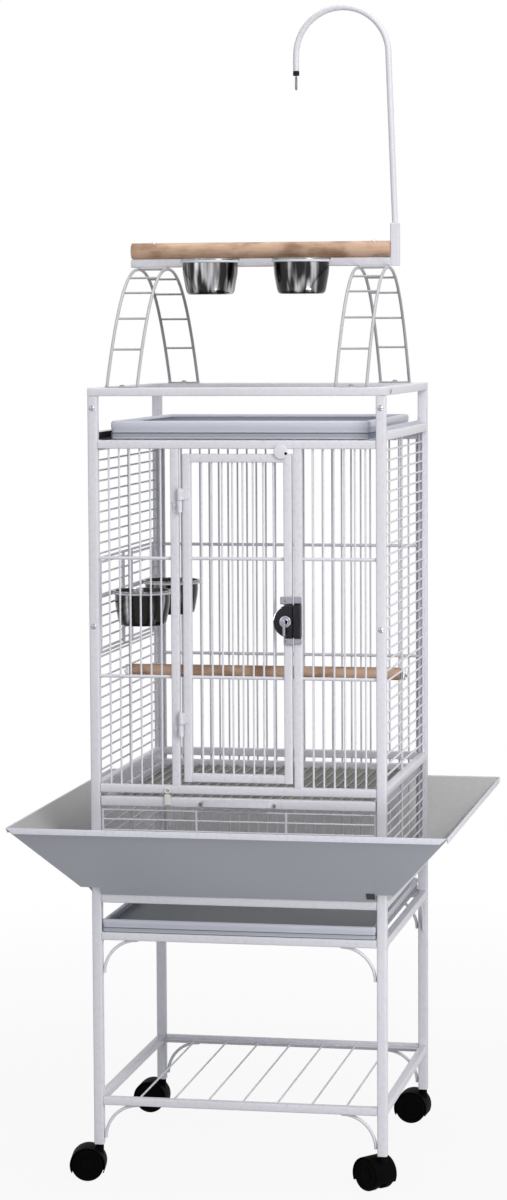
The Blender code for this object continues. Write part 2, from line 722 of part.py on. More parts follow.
def add_lock(black, chrome):
    """Add the lock case, its turning lever, the bolt and the keeper."""
    front = -HALF_D - GAP
    y_span = (front - LOCK_DEPTH, front)
    case_right = lock_split() - LOCK_SPLIT_GAP
    centre_x = case_right - LOCK_ROUND_CENTRE_IN
    outline = arc((centre_x, 0, LOCK_HEIGHT), LOCK_RADIUS, math.radians(90), math.radians(270), 12)
    outline = [Vector((case_right, 0, LOCK_HEIGHT + LOCK_RADIUS))] + outline
    outline.append(Vector((case_right, 0, LOCK_HEIGHT - LOCK_RADIUS)))
    case = ringed([[Vector((p.x, y, p.z)) for p in outline] for y in y_span])
    mid_y = sum(y_span) / 2
    slot_y = (mid_y - BOLT_THICK / 2 - BOLT_CLEARANCE, mid_y + BOLT_THICK / 2 + BOLT_CLEARANCE)
    slot_z = (LOCK_HEIGHT - BOLT_TALL / 2 - BOLT_CLEARANCE, LOCK_HEIGHT + BOLT_TALL / 2 + BOLT_CLEARANCE)
    channel = block((case_right - BOLT_LENGTH - BOLT_CLEARANCE, case_right + SINK), slot_y, slot_z)
    add_part("lock_case", carve(case, [channel]), black, (HINGE_X, HINGE_Y, LOCK_HEIGHT))
    bolt = block((case_right - BOLT_LENGTH, case_right),
                 (mid_y - BOLT_THICK / 2, mid_y + BOLT_THICK / 2),
                 (LOCK_HEIGHT - BOLT_TALL / 2, LOCK_HEIGHT + BOLT_TALL / 2))
    add_part("lock_bolt", bolt, chrome, (case_right, mid_y, LOCK_HEIGHT))
    keeper = block((lock_split(), DOOR_OPENING / 2 + RAIL), y_span,
                   (LOCK_HEIGHT - LOCK_RADIUS, LOCK_HEIGHT + LOCK_RADIUS))
    pocket = block((lock_split() - SINK, lock_split() + BOLT_TRAVEL), slot_y, slot_z)
    add_part("lock_keeper", carve(keeper, [pocket]), black)
    knob_x = knob_axis_x()
    back = y_span[0] - GAP
    base = cylinder((knob_x, back, LOCK_HEIGHT), (0, -KNOB_BASE, 0), KNOB_RADIUS, 16)
    lever = block((knob_x - KNOB_LEVER_WIDTH / 2, knob_x + KNOB_LEVER_WIDTH / 2),
                  (back - KNOB_BASE / 2, back - KNOB_DEPTH),
                  (LOCK_HEIGHT - KNOB_LEVER_LENGTH, LOCK_HEIGHT + KNOB_RADIUS / 2))
    add_part("lock_lever", weld([base, lever]), chrome, (knob_x, back, LOCK_HEIGHT))


def knob_axis_x():
    """Return the X of the lever's axis, near the middle of the case."""
    return lock_split() - LOCK_SPLIT_GAP - LOCK_ROUND_CENTRE_IN - KNOB_FROM_CASE_CENTRE


def add_turn_button(white):
    """Add the round button at the top of the door, off centre on its pivot."""
    x = DOOR_RIGHT - BUTTON_FROM_LATCH_EDGE
    pivot_z = DOOR_TOP - RAIL / 2
    back = -HALF_D - GAP
    disc = cylinder((x, back, pivot_z + BUTTON_RISE), (0, -BUTTON_THICK, 0), BUTTON_RADIUS)
    add_part("door_turn_button", disc, white, (x, back, pivot_z))


def add_grate(paint, white, steel):
    """Add the floor grate drawer, its pull and latch, and its two runners."""
    z_span = (GRATE_TOP - GRATE_HEIGHT, GRATE_TOP)
    back_y = RAIL_IN_Y - GRATE_SIDE_PLAY
    centre_y = (back_y - HALF_D) / 2
    ring = frame_ring(GRATE_HALF_X, (back_y + HALF_D) / 2, GRATE_BAR / 2, GRATE_BAR, z_span,
                      (0.0, centre_y))
    solids = [ring]
    wire_z = GRATE_TOP - GRATE_HEIGHT / 2
    for x in spaced(-GRATE_HALF_X, GRATE_HALF_X, BAR_PITCH):
        solids.append(bar_y(x, (-HALF_D + GRATE_BAR - SINK, back_y - GRATE_BAR + SINK), wire_z, WIRE))
    reach = GRATE_HALF_X - GRATE_BAR / 2 + SINK
    for index in range(GRATE_CROSS_WIRES):
        y = -HALF_D + (back_y + HALF_D) * (index + 1) / (GRATE_CROSS_WIRES + 1)
        solids.append(bar_x((-reach, reach), y, wire_z - WIRE - GAP, WIRE))
    low = wire_z - PULL_HEIGHT / 2
    high = wire_z + PULL_HEIGHT / 2
    face = -HALF_D - PULL_STAND
    for side in (-1, 1):
        edge = side * PULL_WIDTH / 2
        solids.append(block((edge, edge - side * PULL_FOOT), (face - PULL_THICK / 2, -HALF_D + SINK),
                            (low, high)))
    solids.append(block((-PULL_WIDTH / 2 + SINK, PULL_WIDTH / 2 - SINK), (face - PULL_THICK, face),
                        (low + GAP, high - GAP)))
    add_part("floor_grate", weld(solids), paint, (0.0, -HALF_D, GRATE_TOP))
    for name, side in (("left", -1), ("right", 1)):
        outer = side * (RAIL_IN_X - GAP)
        wall = outer - side * RUNNER_THICK
        shelf_top = z_span[0] - GAP
        flange = block((outer, wall), (-POST_IN_Y, POST_IN_Y), (shelf_top - RUNNER_THICK,
                                                                FLOOR_RAIL_TOP - RAIL / 2))
        shelf = block((wall + side * GAP, wall - side * RUNNER_SHELF), (-POST_IN_Y, POST_IN_Y),
                      (shelf_top - RUNNER_THICK, shelf_top))
        add_part("grate_runner_" + name, weld([flange, shelf]), steel)
    tab_y = -HALF_D - GAP
    tab = block((GRATE_LATCH_X - GRATE_LATCH_WIDTH / 2, GRATE_LATCH_X + GRATE_LATCH_WIDTH / 2),
                (tab_y, tab_y - GRATE_LATCH_THICK),
                (wire_z - GRATE_LATCH_WIDTH / 2, wire_z - GRATE_LATCH_WIDTH / 2 + GRATE_LATCH_LENGTH))
    add_part("grate_latch", tab, white, (GRATE_LATCH_X, tab_y, wire_z))


def add_trays(sheet, steel):
    """Add the dirt tray, the play tray and the play tray's guides."""
    half_x = POST_IN_X - DIRT_TRAY_SIDE_PLAY
    base = LOWER_RAIL_TOP + GAP
    tray = pan((-half_x, half_x), (-HALF_D, HALF_D - DIRT_TRAY_BACK_GAP), (base, base + DIRT_TRAY_HEIGHT),
               TRAY_WALL)
    add_part("dirt_tray", tray, sheet, (0.0, -HALF_D, base))
    base = ROOF_RAIL_TOP + GAP
    y_span = (-HALF_D + PLAY_TRAY_FRONT, HALF_D - PLAY_TRAY_BACK)
    tray = pan((-PLAY_TRAY_HALF_WIDTH, PLAY_TRAY_HALF_WIDTH), y_span, (base, base + PLAY_TRAY_HEIGHT),
               TRAY_WALL)
    add_part("play_tray", tray, sheet, (0.0, y_span[0], base))
    for name, side in (("left", -1), ("right", 1)):
        outer = side * (RAIL_IN_X - GAP)
        wall = outer - side * GUIDE_THICK
        edge = side * (PLAY_TRAY_HALF_WIDTH + 2 * GAP)
        flange = block((outer, wall), (-POST_IN_Y, POST_IN_Y), (base, base + GUIDE_HEIGHT))
        shelf = block((wall + side * GAP, edge), (-POST_IN_Y, POST_IN_Y), (base, base + GUIDE_THICK))
        add_part("tray_guide_" + name, weld([flange, shelf]), steel)


def guard_panel(half_span, half_depth):
    """Return one sloped sheet with its turned lip, drawn at the front and mitred at its ends."""
    low = UPPER_RAIL_TOP + GAP
    slope = math.atan2(GUARD_TOP - low, GUARD_REACH)
    fold = GUARD_SHEET / math.tan((math.pi / 2 - slope) / 2 + math.pi / 4)
    shift = GUARD_SHEET / math.sin(slope)
    section = [(GAP, low), (GUARD_REACH, GUARD_TOP), (GUARD_REACH, GUARD_TOP - GUARD_LIP),
               (GUARD_REACH - GUARD_SHEET, GUARD_TOP - GUARD_LIP),
               (GUARD_REACH - GUARD_SHEET, GUARD_TOP - GUARD_SHEET - fold - shift / 2),
               (GAP + shift, low)]
    rings = []
    for side in (-1, 1):
        rings.append([(side * (half_span + out - GAP), -half_depth - out, z) for out, z in section])
    return carve(ringed(rings), guard_cutters(half_span, half_depth))


def guard_cutters(half_span, half_depth):
    """Return the blocks that clear the posts and slant the ends of a panel's lip."""
    cutters = []
    lip = -half_depth - GUARD_REACH
    end = half_span + GUARD_REACH
    low = GUARD_TOP - GUARD_LIP - SINK
    for side in (-1, 1):
        cutters.append(block((side * (half_span - POST - GAP), side * (half_span + POST + SINK)),
                             (-half_depth - POST - SINK, -half_depth),
                             (UPPER_RAIL_TOP - SINK, UPPER_RAIL_TOP + GUARD_NOTCH)))
        corner = [(side * (end - GUARD_LIP_RELIEF), low), (side * (end + SINK), low),
                  (side * (end + SINK), GUARD_TOP - SINK)]
        cutters.append(ringed([[(x, y, z) for x, z in corner]
                               for y in (lip - SINK, lip + GUARD_SHEET + GAP)]))
    return cutters


def add_seed_guard(sheet):
    """Add the four sloped panels of the seed guard."""
    add_part("seed_guard_front", guard_panel(HALF_W, HALF_D), sheet)
    turn = Matrix.Rotation(math.radians(180), 4, "Z")
    back = guard_panel(HALF_W, HALF_D)
    back.transform(turn)
    add_part("seed_guard_back", back, sheet)
    right = swap_xy(guard_panel(HALF_D, HALF_W))
    left = right.copy()
    left.transform(turn)
    add_part("seed_guard_right", right, sheet)
    add_part("seed_guard_left", left, sheet)


def cup_mesh(centre_x, centre_y, rim_z):
    """Return a turned steel cup with a flat rim."""
    base = rim_z - CUP_HEIGHT
    rings = []
    for step in range(FACETS):
        turn = 2 * math.pi * (step + 0.5) / FACETS
        rings.append((math.cos(turn), math.sin(turn)))
    profile = [(CUP_BASE_RADIUS, base), (CUP_BODY_RADIUS, rim_z - CUP_SHOULDER),
               (CUP_BODY_RADIUS, rim_z - CUP_RIM_THICK), (CUP_RIM_RADIUS, rim_z - CUP_RIM_THICK),
               (CUP_RIM_RADIUS, rim_z), (CUP_BODY_RADIUS - CUP_WALL, rim_z),
               (CUP_BODY_RADIUS - CUP_WALL, rim_z - CUP_SHOULDER),
               (CUP_BASE_RADIUS - CUP_WALL, base + CUP_WALL)]
    loops = [[(centre_x + radius * cos, centre_y + radius * sin, z) for cos, sin in rings]
             for radius, z in profile]
    return ringed(loops)


def ring_mesh(centre_x, centre_y, rim_z):
    """Return the ring that a cup's rim rests on."""
    top = rim_z - CUP_RIM_THICK - GAP
    profile = [(RING_INNER, top - CUP_RING_WIRE), (RING_OUTER, top - CUP_RING_WIRE),
               (RING_OUTER, top), (RING_INNER, top)]
    return turned(profile, (centre_x, centre_y, 0.0))


def add_feeders(paint, steel):
    """Add the two swing-out feeder doors with their rings and cups."""
    low_z = FEEDER_BOTTOM + FEEDER_PLAY
    high_z = FEEDER_BOTTOM + FEEDER_HEIGHT - FEEDER_PLAY
    half = EDGE_WIRE / 2
    cup_x = -WALL_X + half + CUP_RING_PLAY + CUP_RIM_RADIUS
    for name, (low, high) in zip(("front", "back"), feeder_openings()):
        low_y = low + FEEDER_PLAY
        high_y = high - FEEDER_PLAY
        hinge_y = low_y + half
        cup_y = (low + high) / 2
        pivots = (FEEDER_BOTTOM + GAP, FEEDER_BOTTOM + FEEDER_HEIGHT - GAP)
        solids = [bar_z(-WALL_X, hinge_y, pivots, EDGE_WIRE),
                  bar_z(-WALL_X, high_y - half, (low_z, high_z), EDGE_WIRE)]
        run = (hinge_y, high_y - half)
        ring_z = FEEDER_CUP_RIM_Z - CUP_RIM_THICK - GAP - CUP_RING_WIRE / 2
        for z in (low_z + half, high_z - half):
            solids.append(bar_y(-WALL_X, run, z, EDGE_WIRE))
        for z in spaced(low_z + half, high_z - half, (high_z - low_z) / (FEEDER_BARS + 1)):
            solids.append(bar_y(-WALL_X, run, z, WIRE))
        solids.append(block((-WALL_X - half, -WALL_X + half), run,
                            (ring_z - CUP_RING_WIRE, ring_z + CUP_RING_WIRE)))
        solids.append(ring_mesh(cup_x, cup_y, FEEDER_CUP_RIM_Z))
        solids.append(block((-WALL_X, cup_x - RING_INNER - SINK / 2),
                            (cup_y - CUP_ARM_WIDTH / 2, cup_y + CUP_ARM_WIDTH / 2),
                            (ring_z - CUP_RING_WIRE / 2 + GAP, ring_z + CUP_RING_WIRE / 2 - GAP)))
        add_part("feeder_door_" + name, weld(solids), paint, (-WALL_X, hinge_y, low_z))
        add_part("feeder_cup_" + name, cup_mesh(cup_x, cup_y, FEEDER_CUP_RIM_Z), steel,
                 (cup_x, cup_y, FEEDER_CUP_RIM_Z), smooth=True)


def add_play_cups(paint, steel):
    """Add the two cups of the play top, each in a ring on an arm from the play bar."""
    rim_z = PLAY_BAR_TOP + PLAY_CUP_RIM_OVER_BAR
    y = -RAIL / 2 - PLAY_CUP_FROM_BAR
    top = rim_z - CUP_RIM_THICK - GAP
    for name, x in zip(("left", "right"), PLAY_CUP_X):
        arm = block((x - CUP_ARM_WIDTH / 2, x + CUP_ARM_WIDTH / 2),
                    (y + RING_OUTER - SINK, -RAIL / 2 - GAP), (top - CUP_RING_WIRE + GAP, top - GAP))
        ring = ring_mesh(x, y, rim_z)
        add_part("cup_ring_" + name, weld([ring, arm]), paint)
        add_part("play_cup_" + name, cup_mesh(x, y, rim_z), steel, (x, y, rim_z), smooth=True)


def add_perches(wood):
    """Add the inner perch and the perch on the play bar."""
    end = WALL_X - STIFFENER_SET_BACK - STIFFENER / 2 - GAP
    inner = cylinder((-end, 0.0, INNER_PERCH_Z), (2 * end, 0, 0), INNER_PERCH_RADIUS)
    add_part("inner_perch", inner, wood, smooth=True)
    right = SOCKET_X - SOCKET / 2 - GAP
    z = PLAY_BAR_TOP + GAP + PLAY_PERCH_RADIUS
    perch = cylinder((PLAY_PERCH_LEFT, 0.0, z), (right - PLAY_PERCH_LEFT, 0, 0), PLAY_PERCH_RADIUS)
    add_part("play_perch", perch, wood, smooth=True)


def arch_point(height_share, side):
    """Return the Y and Z on the arch's curve at a share of its height."""
    base = TOP_RAIL_TOP + ARCH_FOOT_THICK
    rise = PLAY_BAR_Z - GAP - ARCH_WIRE / 2 - base
    reach = (1 - height_share) ** (1 / ARCH_POWER)
    return side * ARCH_HALF_SPAN * reach, base + rise * height_share


def arch_curve():
    """Return the Y and Z points of one arch rail from the front foot to the back foot."""
    half = []
    for step in range(ARCH_STEPS + 1):
        share = 1 - (1 - step / ARCH_STEPS) ** ARCH_POWER
        half.append(arch_point(share, -1))
    return half + [(-y, z) for y, z in reversed(half[:-1])]


def add_arches(paint):
    """Add the two ladder arches that carry the play bar."""
    for name, side in (("left", -1), ("right", 1)):
        rails = []
        for x in (side * ARCH_INNER, side * ARCH_OUTER):
            rails.append(rod([(x, y, z) for y, z in arch_curve()], ARCH_WIRE / 2, 4))
        solids = list(rails)
        run = sorted((side * ARCH_INNER, side * ARCH_OUTER))
        rungs = [arch_point(share, end) for share in ARCH_RUNGS for end in (-1, 1)]
        rungs.append(arch_point(1.0, 1))
        for y, z in rungs:
            solids.append(bar_x(run, y, z, ARCH_RUNG_WIRE))
        base = TOP_RAIL_TOP + GAP
        for end in (-1, 1):
            y = end * ARCH_HALF_SPAN
            half = ARCH_FOOT_WIDTH / 2
            solids.append(block((run[0] - ARCH_WIRE / 2, run[1] + ARCH_WIRE / 2), (y - half, y + half),
                                (base, base + ARCH_FOOT_THICK)))
        add_part("ladder_arch_" + name, weld(solids), paint)


def add_play_bar(paint):
    """Add the square play bar with the socket of the toy hook."""
    bar = block((PLAY_BAR_LEFT, SOCKET_X), (-RAIL / 2, RAIL / 2), (PLAY_BAR_Z, PLAY_BAR_TOP))
    half = SOCKET / 2
    socket = block((SOCKET_X - half, SOCKET_X + half), (-half, half), (PLAY_BAR_Z - GAP, SOCKET_TOP))
    bore = cylinder((SOCKET_X, 0, SOCKET_TOP - SOCKET_BORE_DEPTH), (0, 0, SOCKET_BORE_DEPTH + SINK),
                    SOCKET_BORE_RADIUS, 16)
    add_part("play_bar", carve(weld([bar, socket]), [bore]), paint)


def hook_end():
    """Return the place of the hook's free end."""
    rise = HOOK_BEND_Z - SOCKET_TOP
    centre_x = SOCKET_X - rise * math.tan(HOOK_LEAN) - HOOK_BEND_RADIUS
    return Vector((centre_x - HOOK_BEND_RADIUS, 0.0, HOOK_BEND_Z - HOOK_DROP))


def add_toy_hook(metal):
    """Add the bent rod of the toy hook and the clip that hangs at its end."""
    lean = math.tan(HOOK_LEAN)
    foot_depth = SOCKET_BORE_DEPTH - 2 * GAP
    foot = Vector((SOCKET_X + foot_depth * lean, 0.0, SOCKET_TOP - foot_depth))
    end = hook_end()
    centre = (end.x + HOOK_BEND_RADIUS, 0.0, HOOK_BEND_Z)
    path = [foot] + arc(centre, HOOK_BEND_RADIUS, 0.0, math.pi, 14) + [end]
    add_part("toy_hook", rod(path, HOOK_RADIUS, 10), metal, (SOCKET_X, 0.0, SOCKET_TOP), smooth=True)
    top = end.z - GAP - CLIP_WIRE / 2
    drop = CLIP_LENGTH - CLIP_WIRE - 2 * CLIP_HALF_WIDTH
    middle = Vector((end.x, 0.0, top - CLIP_HALF_WIDTH))
    upper = arc(middle, CLIP_HALF_WIDTH, 0.0, math.pi, 6, "YZ")
    lower = arc(middle - Vector((0, 0, drop)), CLIP_HALF_WIDTH, math.pi, 2 * math.pi, 6, "YZ")
    clip = rod(upper + lower, CLIP_WIRE / 2, 6, closed_path=True)
    add_part("hook_clip", clip, metal, (end.x, 0.0, end.z), smooth=True)


def add_casters(black):
    """Add each caster's hood with its stem, and its pair of wheels on their axle."""
    for name, side_x, side_y in corners():
        leg = Vector((side_x * (HALF_W - POST / 2), side_y * (HALF_D - POST / 2), 0.0))
        heading = CASTER_HEADINGS[name]
        turn = Matrix.Translation(leg) @ Matrix.Rotation(heading - math.radians(90), 4, "Z")
        hood = caster_hood()
        hood.transform(turn)
        add_part("caster_" + name, hood, black, leg)
        wheels = turned([(AXLE_RADIUS, -WHEEL_INNER), (AXLE_RADIUS, WHEEL_INNER),
                         (WHEEL_RADIUS, WHEEL_INNER), (WHEEL_RADIUS, WHEEL_OUTER),
                         (AXLE_RADIUS / 2, WHEEL_OUTER), (AXLE_RADIUS / 2, -WHEEL_OUTER),
                         (WHEEL_RADIUS, -WHEEL_OUTER), (WHEEL_RADIUS, -WHEEL_INNER)],
                        (0.0, CASTER_TRAIL, WHEEL_RADIUS), "X")
        wheels.transform(turn)
        hub = turn @ Vector((0.0, CASTER_TRAIL, WHEEL_RADIUS))
        add_part("caster_wheels_" + name, wheels, black, hub)


def caster_hood():
    """Return a caster's web, hood, neck and stem, with the wheels trailing towards +Y."""
    hub = Vector((0.0, CASTER_TRAIL, WHEEL_RADIUS))
    outer = arc(hub, HOOD_RADIUS + HOOD_WALL, HOOD_START, HOOD_END, HOOD_STEPS, "YZ")
    inner = arc(hub, HOOD_RADIUS, HOOD_END, HOOD_START, HOOD_STEPS, "YZ")
    band = outer + inner
    half = HOOD_HALF_WIDTH
    hood = ringed([[p + Vector((x, 0, 0)) for p in band] for x in (-half, half)])
    web_arc = arc(hub, HOOD_RADIUS + HOOD_WALL / 2, HOOD_START, HOOD_END, HOOD_STEPS, "YZ")
    web_arc += arc(hub, 2 * AXLE_RADIUS, math.radians(200), math.radians(340), 4, "YZ")
    half = CASTER_WEB / 2
    web = ringed([[p + Vector((x, 0, 0)) for p in web_arc] for x in (-half, half)])
    neck_low = WHEEL_RADIUS + HOOD_RADIUS / 2
    neck = cylinder((0, 0, neck_low), (0, 0, CASTER_HEIGHT - GAP - neck_low), CASTER_NECK_RADIUS, 12)
    stem = cylinder((0, 0, CASTER_HEIGHT - SINK), (0, 0, CASTER_STEM_LENGTH), CASTER_STEM_RADIUS, 10)
    bore = cylinder(hub - Vector((CASTER_WEB, 0, 0)), (2 * CASTER_WEB, 0, 0), AXLE_BORE_RADIUS, 16)
    wheel_room = turned([(AXLE_RADIUS, -HOOD_HALF_WIDTH - SINK), (AXLE_RADIUS, -half),
                         (HOOD_RADIUS, -half), (HOOD_RADIUS, -HOOD_HALF_WIDTH - SINK)], hub, "X")
    other_room = wheel_room.copy()
    other_room.transform(Matrix.Scale(-1, 4, (1, 0, 0)))
    other_room.flip_normals()
    return carve(weld([hood, web, neck, stem]), [bore, wheel_room, other_room])


def build():
    """Build the whole cage."""
    clear_scene()
    paint = make_material("powder_coat", (0.74, 0.74, 0.79), 0.42)
    sheet = make_material("tray_sheet", (0.46, 0.50, 0.56), 0.45)
    guard = make_material("guard_sheet", (0.42, 0.44, 0.48), 0.45)
    steel = make_material("polished_steel", (0.62, 0.62, 0.63), 0.16, 1.0)
    chrome = make_material("chrome", (0.75, 0.75, 0.76), 0.12, 1.0)
    black = make_material("black_plastic", (0.02, 0.02, 0.022), 0.45)
    white = make_material("white_plastic", (0.78, 0.78, 0.76), 0.4)
    wood = make_material("perch_wood", (0.56, 0.34, 0.20), 0.6)
    add_posts(paint)
    add_top_ring(paint)
    add_stand(paint)
    add_back_panel(paint)
    add_side_panels(paint)
    add_front_panel(paint)
    add_skirt(paint)
    add_roof(paint)
    add_door(paint)
    add_hinges(paint)
    add_lock(black, chrome)
    add_turn_button(white)
    add_grate(paint, white, paint)
    add_trays(sheet, sheet)
    add_seed_guard(guard)
    add_feeders(paint, steel)
    add_play_cups(paint, steel)
    add_perches(wood)
    add_arches(paint)
    add_play_bar(paint)
    add_toy_hook(paint)
    add_casters(black)


build()
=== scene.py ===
"""Dress the play top parrot cage: round wires, tubes, sheet, steel, wood and casters around its frame."""
from __future__ import annotations

import logging
import math
from dataclasses import dataclass, field
from enum import Enum

import bmesh
import bpy
from mathutils import Matrix, Vector


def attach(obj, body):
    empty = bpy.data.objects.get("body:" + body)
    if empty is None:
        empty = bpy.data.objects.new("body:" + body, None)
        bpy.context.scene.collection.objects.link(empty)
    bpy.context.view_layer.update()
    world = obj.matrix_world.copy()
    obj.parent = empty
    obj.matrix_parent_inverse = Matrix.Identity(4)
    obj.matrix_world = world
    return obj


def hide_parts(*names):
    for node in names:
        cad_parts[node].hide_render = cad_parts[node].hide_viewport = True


LOG = logging.getLogger("parrot_cage")
Span = tuple[float, float]
Colour = tuple[float, float, float]
Path = list[Vector]
X, Y, Z = Vector((1, 0, 0)), Vector((0, 1, 0)), Vector((0, 0, 1))
SHARP = 38.0
CORNERS = (("front_left", -1, -1), ("front_right", 1, -1), ("back_left", -1, 1), ("back_right", 1, 1))


@dataclass(frozen=True)
class CageSizes:
    """The cage's driving sizes in metres, as the construction has them."""

    width: float = 0.457
    depth: float = 0.457
    caster_height: float = 0.055
    post: float = 0.015
    rail: float = 0.0127
    gap: float = 0.0003
    shelf_top: float = 0.130
    lower_rail_top: float = 0.3875
    upper_rail_top: float = 0.4458
    floor_rail_top: float = 0.6164
    roof_rail_top: float = 1.1414
    top_rail_top: float = 1.2209
    wire: float = 0.003
    edge_wire: float = 0.004
    cross_bar: float = 0.0052
    cross_spread: float = 0.0049
    back_cross_drop: float = 0.0078
    pitch: float = 0.016
    opening: float = 0.1764
    corner: float = 0.0018

    @property
    def half_w(self) -> float:
        """Half of the footprint's width."""
        return self.width / 2

    @property
    def half_d(self) -> float:
        """Half of the footprint's depth."""
        return self.depth / 2

    @property
    def post_in(self) -> float:
        """Distance from the middle to the inner faces of the posts."""
        return self.half_w - self.post - self.gap

    @property
    def rail_in(self) -> float:
        """Distance from the middle to the inner faces of the rails."""
        return self.half_w - self.rail

    @property
    def wall(self) -> float:
        """Distance from the middle to the wires of a wall."""
        return self.half_w - self.rail / 2

    @property
    def side_roof_top(self) -> float:
        """Height of the side roof rails, one tube above the front one."""
        return self.roof_rail_top + self.rail

    @property
    def cross_heights(self) -> Span:
        """Heights of the two cross bars, a little outside the thirds of the front bars.

        Returns:
            The heights.
        """
        low = self.floor_rail_top
        high = self.roof_rail_top - self.rail
        return low + (high - low) / 3 - self.cross_spread, low + (high - low) * 2 / 3 + self.cross_spread


SIZES = CageSizes()


class Slot(Enum):
    """The record's material slots."""

    PAINT = "paint"
    SHEET = "sheet"
    GUARD = "guard"
    STEEL = "steel"
    CHROME = "chrome"
    BLACK = "black"
    WHITE = "white"
    WOOD = "wood"


class Axis(Enum):
    """The axis that a bar runs along."""

    X = 0
    Y = 1
    Z = 2


def spaced(low: float, high: float, pitch: float) -> list[float]:
    """Return the places of bars that fill a span.

    Args:
        low: Start of the span.
        high: End of the span.
        pitch: Wanted distance between bars.

    Returns:
        The bars' places, evenly spread with a gap at both ends.
    """
    count = max(1, round((high - low) / pitch) - 1)
    return [low + (high - low) * (index + 1) / (count + 1) for index in range(count)]


def arc_points(centre: Vector, radius: float, start: float, end: float, steps: int,
               across: Vector, up: Vector) -> Path:
    """Return points on an arc.

    Args:
        centre: Centre of the arc.
        radius: Radius of the arc.
        start: First angle in radians, from the across vector.
        end: Last angle in radians.
        steps: Number of stretches.
        across: Unit vector at angle zero.
        up: Unit vector at a right angle to it.

    Returns:
        One more point than there are stretches.
    """
    points = []
    for step in range(steps + 1):
        turn = start + (end - start) * step / steps
        points.append(centre + across * (radius * math.cos(turn)) + up * (radius * math.sin(turn)))
    return points


@dataclass(frozen=True)
class Head:
    """The round head of a screw, bolt or button."""

    radius: float
    thick: float
    dome: float = 0.0
    steps: int = 28


